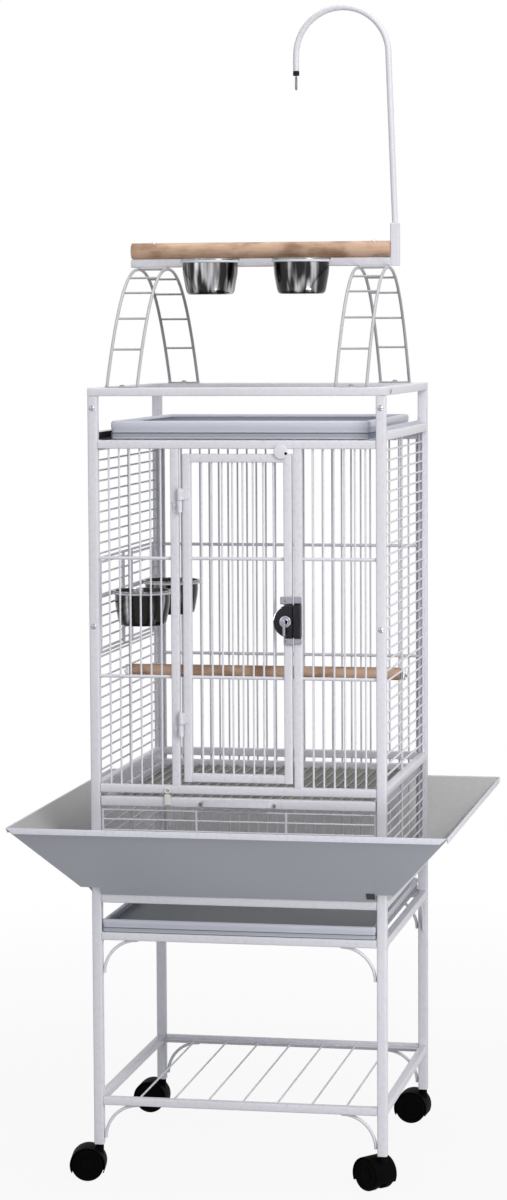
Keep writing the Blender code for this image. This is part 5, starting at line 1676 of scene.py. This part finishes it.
@dataclass
class Cup(Assembly):
    """A spun steel cup with a rolled rim."""

    name: str
    node: str
    centre: Vector
    rim: float = 0.046
    body: float = 0.0430
    base: float = 0.036
    height: float = 0.055
    wall: float = 0.0010
    rim_height: float = 0.0024
    bead_in: float = 0.0011
    bead_drop: float = 0.0012
    bead_wire: float = 0.00115

    def build(self) -> None:
        """Build the cup, its colour streaked with painted reflections, and the bright rolled bead that lies on its
        rim.
        """
        low, wall, rim, body, base = -self.height, self.wall, self.rim, self.body, self.base
        profile = [(base - 0.006, low), (base - 0.002, low + 0.0006), (base + 0.0006, low + 0.003),
                   (base + 0.0022, low + 0.008), (body - 0.0008, low * 0.45), (body, low * 0.28), (body, -0.0036),
                   (body + 0.0008, -0.0026), (rim - 0.0010, -self.rim_height), (rim, -0.0014),
                   (rim - 0.0002, -0.0004), (rim - 0.0012, 0.0), (body - 0.0006, -0.0004),
                   (body - wall, -0.0020), (body - wall, low * 0.28), (body - 0.0008 - wall, low * 0.45),
                   (base + 0.0022 - wall, low + 0.008), (base - 0.001, low + 0.0036), (base - 0.006, low + wall)]
        cup = Sketch()
        cup.lathe(profile, self.centre, steps=72, loop=False)
        self.add(cup, self.name, Look.CUP_REFLECTIONS, self.node, slot=Slot.STEEL, body=self.node)
        bead = Sketch()
        bead.hoop(self.centre - Z * self.bead_drop, rim - self.bead_in, self.bead_wire, 64, sides=8)
        self.add(bead, self.name + "_bead", Slot.STEEL, body=self.node)


@dataclass
class CupRing:
    """The wire ring that a cup's rim rests on."""

    play: float = 0.0008
    wire: float = 0.0035

    @property
    def inner(self) -> float:
        """Inner radius of the ring."""
        return Cup.body + self.play

    def add(self, sketch: Sketch, centre: Vector) -> None:
        """Add the ring that a cup's rim rests on.

        Args:
            sketch: The sketch that takes it.
            centre: Middle of the rim.
        """
        drop = Cup.rim_height + SIZES.gap + self.wire / 2
        sketch.hoop(centre - Z * drop, self.inner + self.wire / 2, self.wire / 2, 48)


@dataclass
class Feeders(Assembly):
    """The two swing-out feeder doors in the left wall, with their cups."""

    walls: Walls
    play: float = 0.0025
    bars: int = 7
    rim_z: float = 0.905
    arm: float = 0.012

    def build(self) -> None:
        """Build both feeder doors."""
        s = SIZES
        ring = CupRing()
        half = s.edge_wire / 2
        low = self.walls.feeder_bottom
        high = low + self.walls.feeder_height
        for name, sign in (("front", -1), ("back", 1)):
            middle = sign * self.walls.feeder_from_middle
            edges = (middle - self.walls.feeder_width / 2 + self.play + half,
                     middle + self.walls.feeder_width / 2 - self.play - half)
            x = -s.wall
            sketch = Sketch()
            sketch.bar(x, edges[0], (low + s.gap, high - s.gap), half, 12)
            sketch.bar(x, edges[1], (low + self.play, high - self.play), half, 12)
            ends = (low + self.play + half, high - self.play - half)
            for z in ends:
                sketch.bar(x, edges, z, half)
            for z in spaced(*ends, (high - low - 2 * self.play) / (self.bars + 1)):
                sketch.bar(x, edges, z, s.wire / 2)
            centre = Vector((x + half + ring.play + Cup.rim, middle, self.rim_z))
            ring.add(sketch, centre)
            band_z = self.rim_z - Cup.rim_height - s.gap - ring.wire / 2
            sketch.tube((x - half, x + half), edges, (band_z - ring.wire, band_z + ring.wire), Axis.Y,
                        corner=0.0012)
            sketch.tube((x, centre.x - ring.inner - ring.wire / 2), (middle - self.arm / 2, middle + self.arm / 2),
                        (band_z - ring.wire / 2 + s.gap, band_z + ring.wire / 2 - s.gap), Axis.X, corner=0.0008)
            self.add(sketch, "feeder_gate_" + name, Slot.PAINT, "feeder_door_" + name, body="feeder_" + name)
            Cup(self.palette, "feeder_bowl_" + name, "feeder_cup_" + name, centre).build()


@dataclass
class ToyHook(Assembly):
    """The toy hook that turns in the play bar's socket, with the clip at its end."""

    socket_x: float
    socket_top: float
    socket_deep: float
    radius: float = 0.00475
    lean: float = math.radians(2.2)
    bend_z: float = 1.7315
    bend_radius: float = 0.0725
    drop: float = 0.0315
    tip: float = 0.0012
    clip_wire: float = 0.0024
    clip_half: float = 0.0045
    clip_length: float = 0.022
    ferrule_play: float = 0.0002

    def build(self) -> None:
        """Build the bent rod, the clip and the dark ferrule on the rod's end."""
        lean = math.tan(self.lean)
        end_x = self.socket_x - (self.bend_z - self.socket_top) * lean - 2 * self.bend_radius
        end = Vector((end_x, 0, self.bend_z - self.drop))
        path = [Vector((self.socket_x + self.socket_deep * lean, 0, self.socket_top - self.socket_deep)),
                Vector((self.socket_x, 0, self.socket_top))]
        centre = Vector((end_x + self.bend_radius, 0, self.bend_z))
        path += arc_points(centre, self.bend_radius, 0.0, math.pi, 36, X, Z) + [end]
        rod = Sketch()
        rod.wire(path, self.radius, 18, taper=self.tip)
        self.add(rod, "hook_rod", Slot.PAINT, "toy_hook", body="toy_hook")
        wire, half = self.clip_wire, self.clip_half
        upper = end.z - SIZES.gap - wire / 2 - half
        lower = upper - (self.clip_length - wire - 2 * half)
        loop = arc_points(Vector((end_x, 0, upper)), half, 0.0, math.pi, 12, Y, Z)
        loop += arc_points(Vector((end_x, 0, lower)), half, math.pi, 2 * math.pi, 12, Y, Z)
        clip = Sketch()
        clip.wire(loop, wire / 2, 10, loop=True)
        self.add(clip, "clip_loop", Look.SCREW, "hook_clip", slot=Slot.STEEL, body="hook_clip")
        outer = self.radius + self.ferrule_play
        ferrule = Sketch()
        ferrule.lathe([(self.radius * 0.62, 0.0), (outer, 0.0004), (outer, 0.0072),
                       (self.radius - self.ferrule_play, 0.0078)], end, steps=24, loop=False)
        self.add(ferrule, "hook_ferrule", Look.SHADE_AND_FERRULE, slot=Slot.BLACK, body="toy_hook")


@dataclass
class PlayTop(Assembly):
    """The ladder arches, the play bar, the perch and its cups, with the toy hook on the bar."""

    bar_z: float = 1.4056
    bar_left: float = -0.2105
    perch_left: float = -0.2095
    perch_radius: float = 0.0127
    perch_soft: float = 0.0006
    arch_inner: float = 0.152
    arch_outer: float = 0.199
    arch_wire: float = 0.005
    rung_thin: float = 0.36
    half_span: float = 0.221
    power: float = 2.2
    rung_shares: tuple[float, ...] = (0.31, 0.57, 0.79, 0.92)
    foot_width: float = 0.012
    foot_thick: float = 0.0016
    foot_screw: Head = Head(0.0042, 0.0010, 0.0016, 18)
    perch_bolt: Head = Head(0.0050, 0.0012, 0.0012, 20)
    cup_x: Span = (-0.071, 0.0727)
    cup_from_bar: float = 0.0563
    cup_below_bar: float = 0.0013
    cup_arm: float = 0.012
    socket: float = 0.014
    socket_x: float = 0.2093
    socket_top: float = 1.471
    socket_deep: float = 0.011
    bore_play: float = 0.0008

    @property
    def bar_top(self) -> float:
        """Height of the top of the play bar."""
        return self.bar_z + SIZES.rail

    def build(self) -> None:
        """Build the play top."""
        self._arches()
        self._bar()
        self._perch()
        self._cups()
        ToyHook(self.palette, self.socket_x, self.socket_top, self.socket_deep).build()

    def _arch_point(self, share: float, end: int) -> Span:
        """Find a point of the arch.

        Args:
            share: Its share of the arch's height.
            end: -1 for the front half, 1 for the back one.

        Returns:
            Its Y and Z.
        """
        base = SIZES.top_rail_top + self.foot_thick
        rise = self.bar_z - SIZES.gap - self.arch_wire / 2 - base
        return end * self.half_span * (1 - share) ** (1 / self.power), base + rise * share

    def _arches(self) -> None:
        """Build the two ladder arches."""
        steps = 20
        for name, side in (("left", -1), ("right", 1)):
            sketch = Sketch()
            half = [self._arch_point(1 - (1 - step / steps) ** self.power, -1) for step in range(steps + 1)]
            curve = half + [(-y, z) for y, z in reversed(half[:-1])]
            for x in (side * self.arch_inner, side * self.arch_outer):
                sketch.wire([Vector((x, y, z)) for y, z in curve], self.arch_wire / 2, 10)
            rungs = [self._arch_point(share, end) for share in self.rung_shares for end in (-1, 1)]
            rungs.append(self._arch_point(1.0, 1))
            run = sorted((side * self.arch_inner, side * self.arch_outer))
            for y, z in rungs:
                sketch.bar(tuple(run), y, z, self.arch_wire * self.rung_thin)
            low = SIZES.top_rail_top + SIZES.gap
            for end in (-1, 1):
                y = end * self.half_span
                sketch.tube((run[0] - self.arch_wire / 2, run[1] + self.arch_wire / 2),
                            (y - self.foot_width / 2, y + self.foot_width / 2), (low, low + self.foot_thick),
                            Axis.X, corner=0.0006)
            # The arch wires are coloured darker than the cage paint as painted shade.
            self.add(sketch, "arch_" + name, Look.ARCH_SHADE, "ladder_arch_" + name, slot=Slot.PAINT)
            screws = Sketch()
            for end in (-1, 1):
                place = Vector(((run[0] + run[1]) / 2, end * self.half_span, low + self.foot_thick))
                screws.disc(place, Z, self.foot_screw)
            self.add(screws, "arch_screws_" + name, Look.SCREW, slot=Slot.STEEL)

    def _bar(self) -> None:
        """Build the square play bar with the hook's socket."""
        s = SIZES
        sketch = Sketch()
        sketch.tube((self.bar_left, self.socket_x), (-s.rail / 2, s.rail / 2), (self.bar_z, self.bar_top), Axis.X)
        half = self.socket / 2
        low = self.bar_z - s.gap
        bore = ToyHook.radius + self.bore_play
        steps = 24
        rings = []
        for place, inset in ((low, 0.0004), (low + 0.0004, 0.0), (self.socket_top - 0.0006, 0.0),
                             (self.socket_top, 0.0006)):
            rings.append(self._square(half - inset, steps, place))
        for place in (self.socket_top, self.socket_top - self.socket_deep):
            rings.append([Vector((self.socket_x + bore * math.cos(t), bore * math.sin(t), place))
                          for t in (2 * math.pi * (k + 0.5) / steps for k in range(steps))])
        sketch.rings(rings)
        self.add(sketch, "play_bar_tube", Slot.PAINT, "play_bar")

    def _square(self, half: float, steps: int, z: float) -> Path:
        """Make a square ring with soft corners round the socket's axis.

        Args:
            half: Half its width.
            steps: Number of its points.
            z: Its height.

        Returns:
            Its points.
        """
        ring = []
        for index in range(steps):
            turn = 2 * math.pi * (index + 0.5) / steps
            x, y = math.cos(turn), math.sin(turn)
            reach = half / max(abs(x), abs(y))
            reach = min(reach, half * 1.33)
            ring.append(Vector((self.socket_x + x * reach, y * reach, z)))
        return ring

    def _perch(self) -> None:
        """Build the wooden perch on the bar, and its bolt heads."""
        right = self.socket_x - self.socket / 2 - SIZES.gap
        z = self.bar_top + SIZES.gap + self.perch_radius
        sketch = Sketch()
        sketch.dowel(Vector((self.perch_left, 0, z)), right - self.perch_left, self.perch_radius, self.perch_soft,
                     4, 48)
        self.add(sketch, "perch_dowel", Slot.WOOD, "play_perch")
        bolts = Sketch()
        middle = (self.arch_inner + self.arch_outer) / 2
        for x in (-middle, middle):
            bolts.disc(Vector((x, 0, z + self.perch_radius - self.perch_soft)), Z, self.perch_bolt)
        self.add(bolts, "perch_bolts", Slot.STEEL)

    def _cups(self) -> None:
        """Build the two cups of the play top with their rings and arms."""
        ring = CupRing()
        rim = self.bar_top - self.cup_below_bar
        y = -SIZES.rail / 2 - self.cup_from_bar
        top = rim - Cup.rim_height - SIZES.gap
        for name, x in zip(("left", "right"), self.cup_x):
            centre = Vector((x, y, rim))
            sketch = Sketch()
            ring.add(sketch, centre)
            for offset in (-1, 1):
                sketch.bar(x + offset * self.cup_arm / 3, (y + ring.inner, -SIZES.rail / 2 - SIZES.gap),
                           top - ring.wire / 2, ring.wire * 0.42)
            self.add(sketch, "cup_hoop_" + name, Slot.PAINT, "cup_ring_" + name)
            Cup(self.palette, "play_bowl_" + name, "play_cup_" + name, centre).build()


@dataclass
class InnerPerch(Assembly):
    """The wooden perch inside the cage, with its end nuts."""

    radius: float = 0.010
    soft: float = 0.0010
    height: float = 0.768
    stiffener: float = 0.004
    washer: Head = Head(0.0095, 0.0012, 0.0, 24)
    nut: Head = Head(0.0046, 0.0030, 0.0012, 16)

    def build(self) -> None:
        """Build the perch."""
        s = SIZES
        end = s.wall - (s.wire + self.stiffener) / 2 - s.gap - self.stiffener / 2 - s.gap
        sketch = Sketch()
        sketch.dowel(Vector((-end, 0, self.height)), 2 * end, self.radius, self.soft, 1, 36)
        self.add(sketch, "inner_dowel", Slot.WOOD, "inner_perch")
        nuts = Sketch()
        for side in (-1, 1):
            outer = side * (s.wall + s.wire / 2)
            nuts.disc(Vector((outer, 0, self.height)), X * side, self.washer)
            nuts.disc(Vector((outer + side * self.washer.thick, 0, self.height)), X * side, self.nut)
        self.add(nuts, "inner_perch_nuts", Slot.STEEL)


@dataclass
class Casters(Assembly):
    """The four swivel casters with twin wheels."""

    wheel: float = 0.025
    wheel_inner: float = 0.0060
    wheel_outer: float = 0.0200
    axle_half: float = 0.0062
    axle_radius: float = 0.0035
    trail: float = 0.018
    hood: float = 0.0262
    hood_wall: float = 0.0014
    hood_half: float = 0.0213
    hood_arc: Span = (math.radians(-25), math.radians(205))
    headings: tuple[float, ...] = (189.0, 142.0, 180.0, 176.0)

    def build(self) -> None:
        """Build the four casters."""
        s = SIZES
        for (name, side_x, side_y), heading in zip(CORNERS, self.headings):
            leg = Vector((side_x * (s.half_w - s.post / 2), side_y * (s.half_d - s.post / 2), 0))
            turn = Matrix.Translation(leg) @ Matrix.Rotation(math.radians(heading - 90), 4, "Z")
            body = Sketch()
            self._body(body)
            self.add(body, "caster_hood_" + name, Slot.BLACK, "caster_" + name, body="caster_" + name, moved=turn)
            wheels = Sketch()
            self._wheels(wheels)
            self.add(wheels, "caster_tyres_" + name, Slot.BLACK, "caster_wheels_" + name, body="wheels_" + name,
                     moved=turn)

    def _body(self, sketch: Sketch) -> None:
        """Add the hood over the wheels, its middle web and the neck.

        Args:
            sketch: The sketch that takes them.
        """
        hub = Vector((0.0, self.trail, self.wheel))
        start, end = self.hood_arc
        rings = []
        half = self.hood_half
        outer = self.hood + self.hood_wall
        for x, radius in ((-half, outer - 0.0012), (-half + 0.0006, outer - 0.0003), (-half + 0.002, outer),
                          (half - 0.002, outer), (half - 0.0006, outer - 0.0003), (half, outer - 0.0012)):
            top = arc_points(hub, radius, start, end, 36, Y, Z)
            under = arc_points(hub, self.hood, end, start, 36, Y, Z)
            rings.append([point + X * x for point in top + under])
        sketch.rings(rings)
        web = arc_points(hub, self.hood + self.hood_wall / 2, start, end, 36, Y, Z)
        web += arc_points(hub, 0.0075, math.radians(200), math.radians(340), 10, Y, Z)
        sketch.rings([[point + X * x for point in web] for x in (-0.0045, 0.0045)])
        top = SIZES.caster_height - SIZES.gap
        neck = [(0.0030, self.wheel + self.hood / 2), (0.0063, self.wheel + self.hood / 2), (0.0063, top - 0.0006),
                (0.0058, top), (0.0030, top)]
        sketch.lathe(neck, Vector(), steps=28, loop=False)

    def _wheels(self, sketch: Sketch) -> None:
        """Add the two wheels with their hub caps, and the axle.

        Args:
            sketch: The sketch that takes them.
        """
        hub = Vector((0.0, self.trail, self.wheel))
        r, inner, outer = self.wheel, self.wheel_inner, self.wheel_outer
        for side in (-1, 1):
            profile = [(0.0050, inner), (r - 0.0020, inner), (r - 0.0006, inner + 0.0006), (r, inner + 0.0022),
                       (r, outer - 0.0026), (r - 0.0008, outer - 0.0008), (r - 0.0026, outer), (r - 0.0052, outer),
                       (r - 0.0060, outer - 0.0014), (0.0110, outer - 0.0020), (0.0100, outer - 0.0006),
                       (0.0060, outer), (0.0020, outer + 0.0001)]
            sketch.lathe(profile, hub, X * side, 56, loop=False)
        sketch.wire([hub - X * self.axle_half, hub + X * self.axle_half], self.axle_radius, 16)


@dataclass(frozen=True)
class Lamp:
    """A soft square area lamp that is aimed at the cage."""

    name: str
    place: tuple[float, float, float]
    size: float
    power: float
    tint: Colour

    def build(self, aim: Vector) -> None:
        """Place the lamp, turned to the point that it is aimed at.

        Args:
            aim: The point that it is aimed at.
        """
        data = bpy.data.lights.new(self.name, "AREA")
        data.size = self.size
        data.energy = self.power
        data.color = self.tint
        lamp = bpy.data.objects.new(self.name, data)
        lamp.location = self.place
        lamp.rotation_euler = (aim - Vector(self.place)).to_track_quat("-Z", "Y").to_euler()
        bpy.context.scene.collection.objects.link(lamp)


@dataclass
class Studio:
    """The camera, the lights, the floor and the backdrop."""

    camera_place: tuple[float, float, float] = (0.9525, -4.9722, 1.3043)
    lens: float = 96.53
    far: float = 60.0
    yaw: float = 0.1927
    pitch: float = 0.0832
    roll: float = -0.0053
    background: Colour = (1.0, 1.0, 1.0)
    sky: Colour = (0.95, 0.96, 1.0)
    sky_strength: float = 0.40
    floor_tone: Colour = (0.36, 0.36, 0.36)
    floor_roughness: float = 0.9
    floor_specular: float = 0.1
    aim_height: float = 0.85
    floor_size: float = 30.0
    fade: Span = (0.5, 2.6)
    fade_share: Span = (0.92, 1.0)
    lamps: tuple[Lamp, ...] = (
        Lamp("key", (1.9, -2.2, 2.5), 1.6, 56.0, (1.0, 0.98, 0.95)),
        Lamp("fill", (-2.6, -2.8, 2.2), 2.4, 20.0, (0.95, 0.97, 1.0)),
        Lamp("bounce", (1.3, -1.3, 0.08), 0.8, 14.0, (0.97, 0.98, 1.0)),
        Lamp("top", (0.3, 0.2, 4.2), 2.6, 50.0, (1.0, 1.0, 1.0)))

    def build(self) -> None:
        """Build the whole studio."""
        self._camera()
        self._world()
        for lamp in self.lamps:
            lamp.build(Z * self.aim_height)
        self._floor()
        bpy.context.scene.view_settings.view_transform = "Standard"

    def _camera(self) -> None:
        """Place the camera where the photograph was taken from."""
        data = bpy.data.cameras.new("camera")
        data.lens = self.lens
        data.clip_end = self.far
        camera = bpy.data.objects.new("camera", data)
        forward = Vector((-math.sin(self.yaw) * math.cos(self.pitch),
                          math.cos(self.yaw) * math.cos(self.pitch), -math.sin(self.pitch)))
        level = Vector((math.cos(self.yaw), math.sin(self.yaw), 0))
        rise = level.cross(forward)
        right = level * math.cos(self.roll) + rise * math.sin(self.roll)
        up = rise * math.cos(self.roll) - level * math.sin(self.roll)
        matrix = Matrix((right, up, -forward)).transposed().to_4x4()
        matrix.translation = self.camera_place
        camera.matrix_world = matrix
        bpy.context.scene.collection.objects.link(camera)
        bpy.context.scene.camera = camera

    def _world(self) -> None:
        """Light the object softly, with a white background for the camera and for reflections."""
        world = bpy.data.worlds.new("studio")
        bpy.context.scene.world = world
        world.use_nodes = True
        tree = world.node_tree
        light = tree.nodes["Background"]
        feed(tree, light, {"Color": (*self.sky, 1.0), "Strength": self.sky_strength})
        white = add_node(tree, "Background", {"Color": (*self.background, 1.0)})
        self._mix(tree, "World Output", self._seen(tree), light, white)

    @staticmethod
    def _mix(tree: bpy.types.NodeTree, output: str, factor: bpy.types.NodeSocket, first: bpy.types.Node,
             second: bpy.types.Node) -> None:
        """Send a mix of two shaders to the output.

        Args:
            tree: The tree that they are in.
            output: Name of the output node.
            factor: Share of the second shader.
            first: The shader at a share of nought.
            second: The shader at a share of one.
        """
        mix = add_node(tree, "MixShader", {"Fac": factor, 1: first.outputs[0], 2: second.outputs[0]})
        feed(tree, tree.nodes[output], {"Surface": mix.outputs["Shader"]})

    @staticmethod
    def _seen(tree: bpy.types.NodeTree) -> bpy.types.NodeSocket:
        """Return a socket that is one for camera rays and for what they see mirrored or through.

        Args:
            tree: The tree that takes its nodes.

        Returns:
            The socket.
        """
        path = add_node(tree, "LightPath").outputs
        total = path["Is Camera Ray"]
        for label in ("Is Glossy Ray", "Is Transmission Ray"):
            total = add_node(tree, "Math", {0: total, 1: path[label]}, operation="MAXIMUM").outputs["Value"]
        return total

    def _floor(self) -> None:
        """Add the pale floor, which runs into the white background."""
        size = self.floor_size
        mesh = bpy.data.meshes.new("floor")
        mesh.from_pydata([(-size, -size, 0), (size, -size, 0), (size, size, 0), (-size, size, 0)], [],
                         [(0, 1, 2, 3)])
        floor = bpy.data.objects.new("floor", mesh)
        bpy.context.scene.collection.objects.link(floor)
        material = bpy.data.materials.new("pale_floor")
        material.use_nodes = True
        self._fade(material.node_tree)
        mesh.materials.append(material)

    def _fade(self, tree: bpy.types.NodeTree) -> None:
        """Let the floor take shadows and fade into the white background away from the cage.

        Args:
            tree: The floor's tree.
        """
        shader = tree.nodes["Principled BSDF"]
        feed(tree, shader, {"Base Color": (*self.floor_tone, 1.0), "Roughness": self.floor_roughness,
                            "Specular IOR Level": self.floor_specular})
        white = add_node(tree, "Emission", {"Color": (*self.background, 1.0)})
        place = add_node(tree, "TexCoord").outputs["Object"]
        reach = add_node(tree, "VectorMath", {0: place}, operation="LENGTH").outputs["Value"]
        share = add_node(tree, "MapRange", {"Value": reach, "From Min": self.fade[0], "From Max": self.fade[1],
                                            "To Min": self.fade_share[0], "To Max": self.fade_share[1]},
                         interpolation_type="SMOOTHSTEP").outputs["Result"]
        factor = add_node(tree, "Math", {0: share, 1: self._seen(tree)}, operation="MULTIPLY").outputs["Value"]
        self._mix(tree, "Material Output", factor, shader, white)


def main() -> None:
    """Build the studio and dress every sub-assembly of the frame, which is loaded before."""
    logging.basicConfig(level=logging.INFO, format="%(name)s: %(message)s")
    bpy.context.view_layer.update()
    Studio().build()
    palette = Palette()
    walls = Walls(palette)
    for part in (PostsAndRings(palette), Stand(palette), walls, Door(palette), Drawers(palette),
                 SeedGuard(palette), Feeders(palette, walls), InnerPerch(palette), PlayTop(palette),
                 Casters(palette)):
        part.build()
        LOG.info("%s is built", type(part).__name__)
    bpy.context.view_layer.update()


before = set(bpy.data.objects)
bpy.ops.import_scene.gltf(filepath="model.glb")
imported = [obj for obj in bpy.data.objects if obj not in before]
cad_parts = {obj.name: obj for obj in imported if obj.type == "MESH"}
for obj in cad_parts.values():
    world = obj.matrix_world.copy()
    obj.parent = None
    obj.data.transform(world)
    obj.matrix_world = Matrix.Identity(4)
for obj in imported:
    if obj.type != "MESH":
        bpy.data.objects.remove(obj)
if __name__ == "__main__":
    main()
